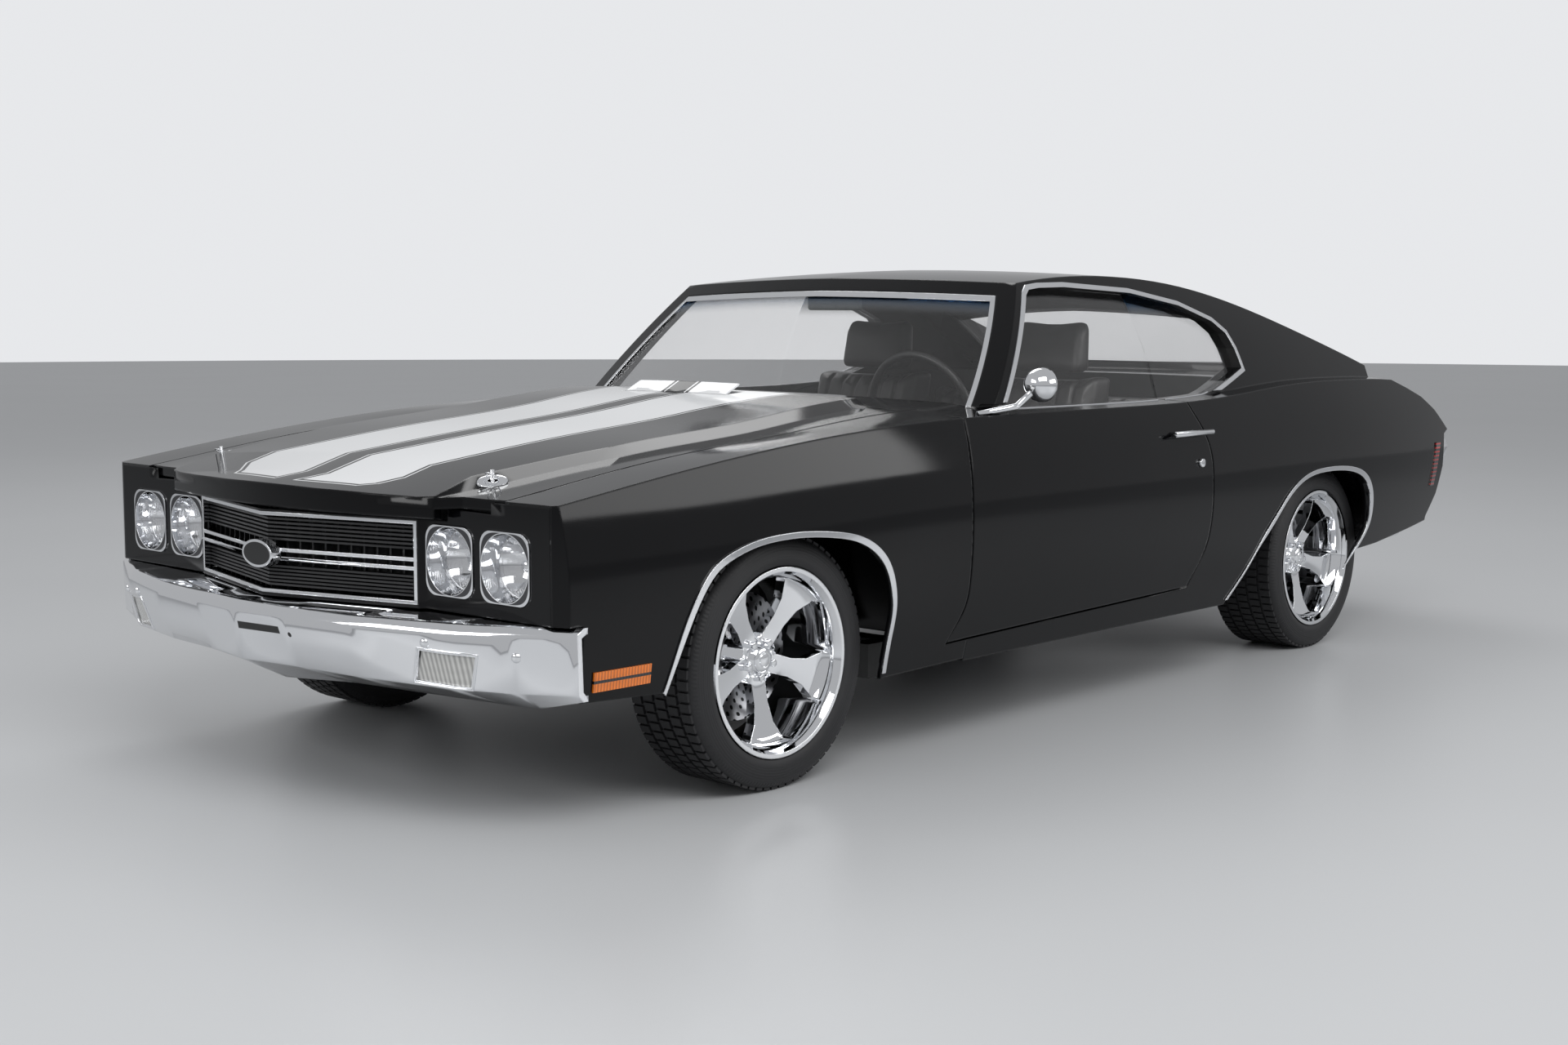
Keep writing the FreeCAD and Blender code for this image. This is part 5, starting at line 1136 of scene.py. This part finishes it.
class CAR_OT_lamps(bpy.types.Operator):
    """Dress the lamps and markers"""

    bl_idname = "car.lamps"
    bl_label = "Lamps"

    def execute(self, context):
        dressed("headlamps", "headlamp_lens")
        dressed("parking_lamps", "parking_lens")
        dressed("side_markers", "amber_lens")
        dressed("tail_lamps", "red_lens")
        bowls, rings = bmesh.new(), bmesh.new()
        for y in LAMP_LINES:
            for side in (1, -1):
                spot = Vector((LAMP_FACE, side * y, LAMP_HEIGHT))
                set_in(bowls, spun_profile(LAMP_BOWL, 48), spot, FORWARD)
                set_in(bowls, spun_profile(BULB_CAP, 32), spot, FORWARD)
                set_in(rings, bar_ring(0.0742, 0.0026, 64), spot + Vector((0.009, 0, 0)), FORWARD)
        add_piece(bowls, "headlamp_reflectors", "body", "lamp_reflector", 60.0)
        bright_piece(rings, "headlamp_rings")
        return {"FINISHED"}


class CAR_OT_glass(bpy.types.Operator):
    """Glaze the windows"""

    bl_idname = "car.glass"
    bl_label = "Glass"

    def execute(self, context):
        dressed("fixed_glass", "screen_glass")
        for side in ("left", "right"):
            dressed("door_glass_" + side, "side_glass")
        return {"FINISHED"}


class CAR_OT_wheels(bpy.types.Operator):
    """Dress the wheels with their nuts and caps, and the tyres with tread"""

    bl_idname = "car.wheels"
    bl_label = "Wheels and tyres"

    def execute(self, context):
        colours, sizes = context.scene.car_colours, context.scene.car_sizes
        for name, axle, side, lip, width in WHEELS:
            body = name + "_wheel"
            centre = (axle, TYRE_RADIUS)
            wheel_finish("wheel_" + name, colours, centre, side * lip)
            rubber_finish("rubber_" + name, colours.rubber, centre)
            dressed("wheel_" + name, "wheel_" + name, 26.0)
            tread = tyre_shape(width, sizes)
            nuts = nut_shapes(sizes.nut_circle)
            cap = spun_profile([(radius, CAP_FACE + y) for radius, y in HUB_CAP], 48)
            for shape in (tread, nuts, cap):
                turn_to_axis(shape, (axle, side * lip, TYRE_RADIUS), side)
            tyre = add_piece(tread, "tread_" + name, body, "rubber_" + name, 35.0)
            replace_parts(tyre, "tyre_" + name)
            add_piece(nuts, "nuts_" + name, body, "chrome")
            add_piece(cap, "cap_" + name, body, "chrome", 40.0)
        return {"FINISHED"}


class CAR_OT_cabin(bpy.types.Operator):
    """Dress dashboard, steering wheel, console and mirror"""

    bl_idname = "car.cabin"
    bl_label = "Cabin"

    def execute(self, context):
        dressed("dashboard", "dash_vinyl")
        dressed("steering_wheel", "grip_leather")
        dressed("console", "dash_vinyl")
        head = pad_block(MIRROR_HEAD, 0.110, 0.0095)
        set_in(head, spun_profile(MIRROR_STEM, 24), STEM_PLACE, UP)
        mirror = add_piece(head, "cabin_mirror_head", "body", "mirror_shell", 40.0)
        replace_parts(mirror, "cabin_mirror")
        second_finish(mirror, "mirror_glass", lambda place, way: way.x < -0.97)
        rings, dials = bmesh.new(), bmesh.new()
        for y, radius in GAUGES:
            spot, way = met("dashboard", (-1.0, y, GAUGE_HEIGHT), FORWARD)
            rim = [(radius, -0.002), (radius, 0.007), (radius - 0.003, 0.008), (radius - 0.006, 0.002)]
            set_in(rings, spun_profile(rim, 40, True), spot, way)
            dial = [(0.0, 0.0025), (radius * 0.5, 0.0018), (radius - 0.004, 0.001)]
            dial += [(radius - 0.004, -0.002), (0.0, -0.002)]
            set_in(dials, spun_profile(dial, 40), spot, way)
        add_piece(rings, "gauge_rings", "body", "chrome", 60.0)
        add_piece(dials, "gauge_faces", "body", "gauge_face", 60.0)
        return {"FINISHED"}


class CAR_OT_seats(bpy.types.Operator):
    """Make the padded seats with their sewn channels"""

    bl_idname = "car.seats"
    bl_label = "Seats"

    def execute(self, context):
        sizes = context.scene.car_sizes
        for name, outline, half, middles, channels, facing, puff in PADS:
            node = "rear_seat" if name.startswith("rear") else "front_seats"
            pad = cushion(name, outline, half, puff, sizes)
            sew_channels(pad, half, channels, Vector(facing).normalized(), sizes)
            for side, middle in middles:
                bm = bmesh.new()
                bm.from_mesh(pad)
                bmesh.ops.translate(bm, vec=(0, middle, 0), verts=bm.verts)
                piece = add_piece(bm, name + side, "body", "seat_leather", 70.0)
                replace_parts(piece, node)
            bpy.data.meshes.remove(pad)
        bases = bmesh.new()
        for _, middle in SEAT_SIDES:
            base = pad_block(SEAT_BASE, 0.195, 0.012)
            bmesh.ops.translate(base, vec=(0, middle, 0), verts=base.verts)
            joined(bases, base)
        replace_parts(add_piece(bases, "seat_bases", "body", "dash_vinyl"), "front_seats")
        return {"FINISHED"}


class CAR_OT_underbody(bpy.types.Operator):
    """Give frame, engine, axles and pipes their metal finishes"""

    bl_idname = "car.underbody"
    bl_label = "Underbody"

    def execute(self, context):
        for node in ("chassis_frame", "inner_fenders", "front_suspension", "radiator"):
            bare(node, "chassis_black")
        bare("floor_pan", "carpet")
        bare("engine", "cast_iron")
        for node in ("driveline", "rear_axle"):
            bare(node, "bare_steel")
        pipes = dressed("exhaust", "bare_steel")
        second_finish(pipes, "chrome", lambda place, way: place.x < TIP_FRONT)
        bare("fuel_tank", "tank_metal")
        for side in ("left", "right"):
            dressed("knuckle_" + side, "caliper_metal")
        return {"FINISHED"}


class CAR_OT_stage(bpy.types.Operator):
    """Set floor, light and camera"""

    bl_idname = "car.stage"
    bl_label = "Stage"

    def execute(self, context):
        colours = context.scene.car_colours
        ground = Finish("studio_floor", colours.floor, 0.4)
        deep = scaled(colours.floor, 0.95)
        ground.colour(ground.noise(0.6, 2.0), colours.floor, deep)
        bm = bmesh.new()
        bmesh.ops.create_circle(bm, cap_ends=True, segments=96, radius=FLOOR_RADIUS)
        mesh = mesh_from(bm, "studio_floor")
        mesh.materials.append(ground.material)
        floor = linked("studio_floor", mesh)
        world = bpy.data.worlds.new("studio")
        context.scene.world = world
        world.use_nodes = True
        tree = world.node_tree
        light = tree.nodes["Background"]
        light.inputs["Color"].default_value = LIGHT_COLOUR
        light.inputs["Strength"].default_value = LIGHT_STRENGTH
        wall = tree.nodes.new("ShaderNodeBackground")
        wall.inputs["Color"].default_value = (*colours.wall, 1)
        seen = tree.nodes.new("ShaderNodeLightPath")
        blend = tree.nodes.new("ShaderNodeMixShader")
        tree.links.new(seen.outputs["Is Camera Ray"], blend.inputs[0])
        tree.links.new(light.outputs[0], blend.inputs[1])
        tree.links.new(wall.outputs[0], blend.inputs[2])
        tree.links.new(blend.outputs[0], tree.nodes["World Output"].inputs["Surface"])
        for name, place, size, power, target in LAMPS:
            light = bpy.data.lights.new(name, "AREA")
            light.shape, light.size, light.size_y, light.energy = "RECTANGLE", size[0], size[1], power
            lamp = linked(name, light)
            turn = (Vector(target) - Vector(place)).to_track_quat("-Z", "Y")
            lamp.matrix_world = Matrix.Translation(place) @ turn.to_matrix().to_4x4()
        to_camera = Matrix.Rotation(CAMERA_TURN.length, 3, CAMERA_TURN.normalized())
        turn = to_camera.transposed() @ Matrix(((1, 0, 0), (0, -1, 0), (0, 0, -1)))
        data = bpy.data.cameras.new("camera")
        data.sensor_width = CAMERA_SENSOR
        data.lens = FOCUS_PER_WIDTH * CAMERA_SENSOR
        data.clip_end = 200.0
        camera = linked("camera", data)
        camera.matrix_world = Matrix.Translation(CAMERA_PLACE) @ turn.to_4x4()
        context.scene.camera = camera
        context.scene.view_settings.view_transform = "Standard"
        return {"FINISHED"}


class CAR_PT_panel(bpy.types.Panel):
    """Shows the car's sizes and colours, and a button for each step that makes its pieces"""

    bl_idname = "CAR_PT_panel"
    bl_label = "Muscle Car"
    bl_space_type = "VIEW_3D"
    bl_region_type = "UI"
    bl_category = "Muscle Car"

    def draw(self, context):
        for group in (context.scene.car_sizes, context.scene.car_colours):
            for key in group.__annotations__:
                self.layout.prop(group, key)
        for operator in OPERATORS:
            self.layout.operator(operator.bl_idname)


OPERATORS = (
    CAR_OT_finishes,
    CAR_OT_panels,
    CAR_OT_brightwork,
    CAR_OT_lamps,
    CAR_OT_glass,
    CAR_OT_wheels,
    CAR_OT_cabin,
    CAR_OT_seats,
    CAR_OT_underbody,
    CAR_OT_stage,
)
CLASSES = (CarSizes, CarColours, *OPERATORS, CAR_PT_panel)


def register():
    for item in CLASSES:
        bpy.utils.register_class(item)
    bpy.types.Scene.car_sizes = PointerProperty(type=CarSizes)
    bpy.types.Scene.car_colours = PointerProperty(type=CarColours)


def unregister():
    del bpy.types.Scene.car_colours
    del bpy.types.Scene.car_sizes
    for item in reversed(CLASSES):
        bpy.utils.unregister_class(item)


def main():
    register()
    for operator in OPERATORS:
        group, name = operator.bl_idname.split(".")
        getattr(getattr(bpy.ops, group), name)()


if __name__ == "__main__":
    main()
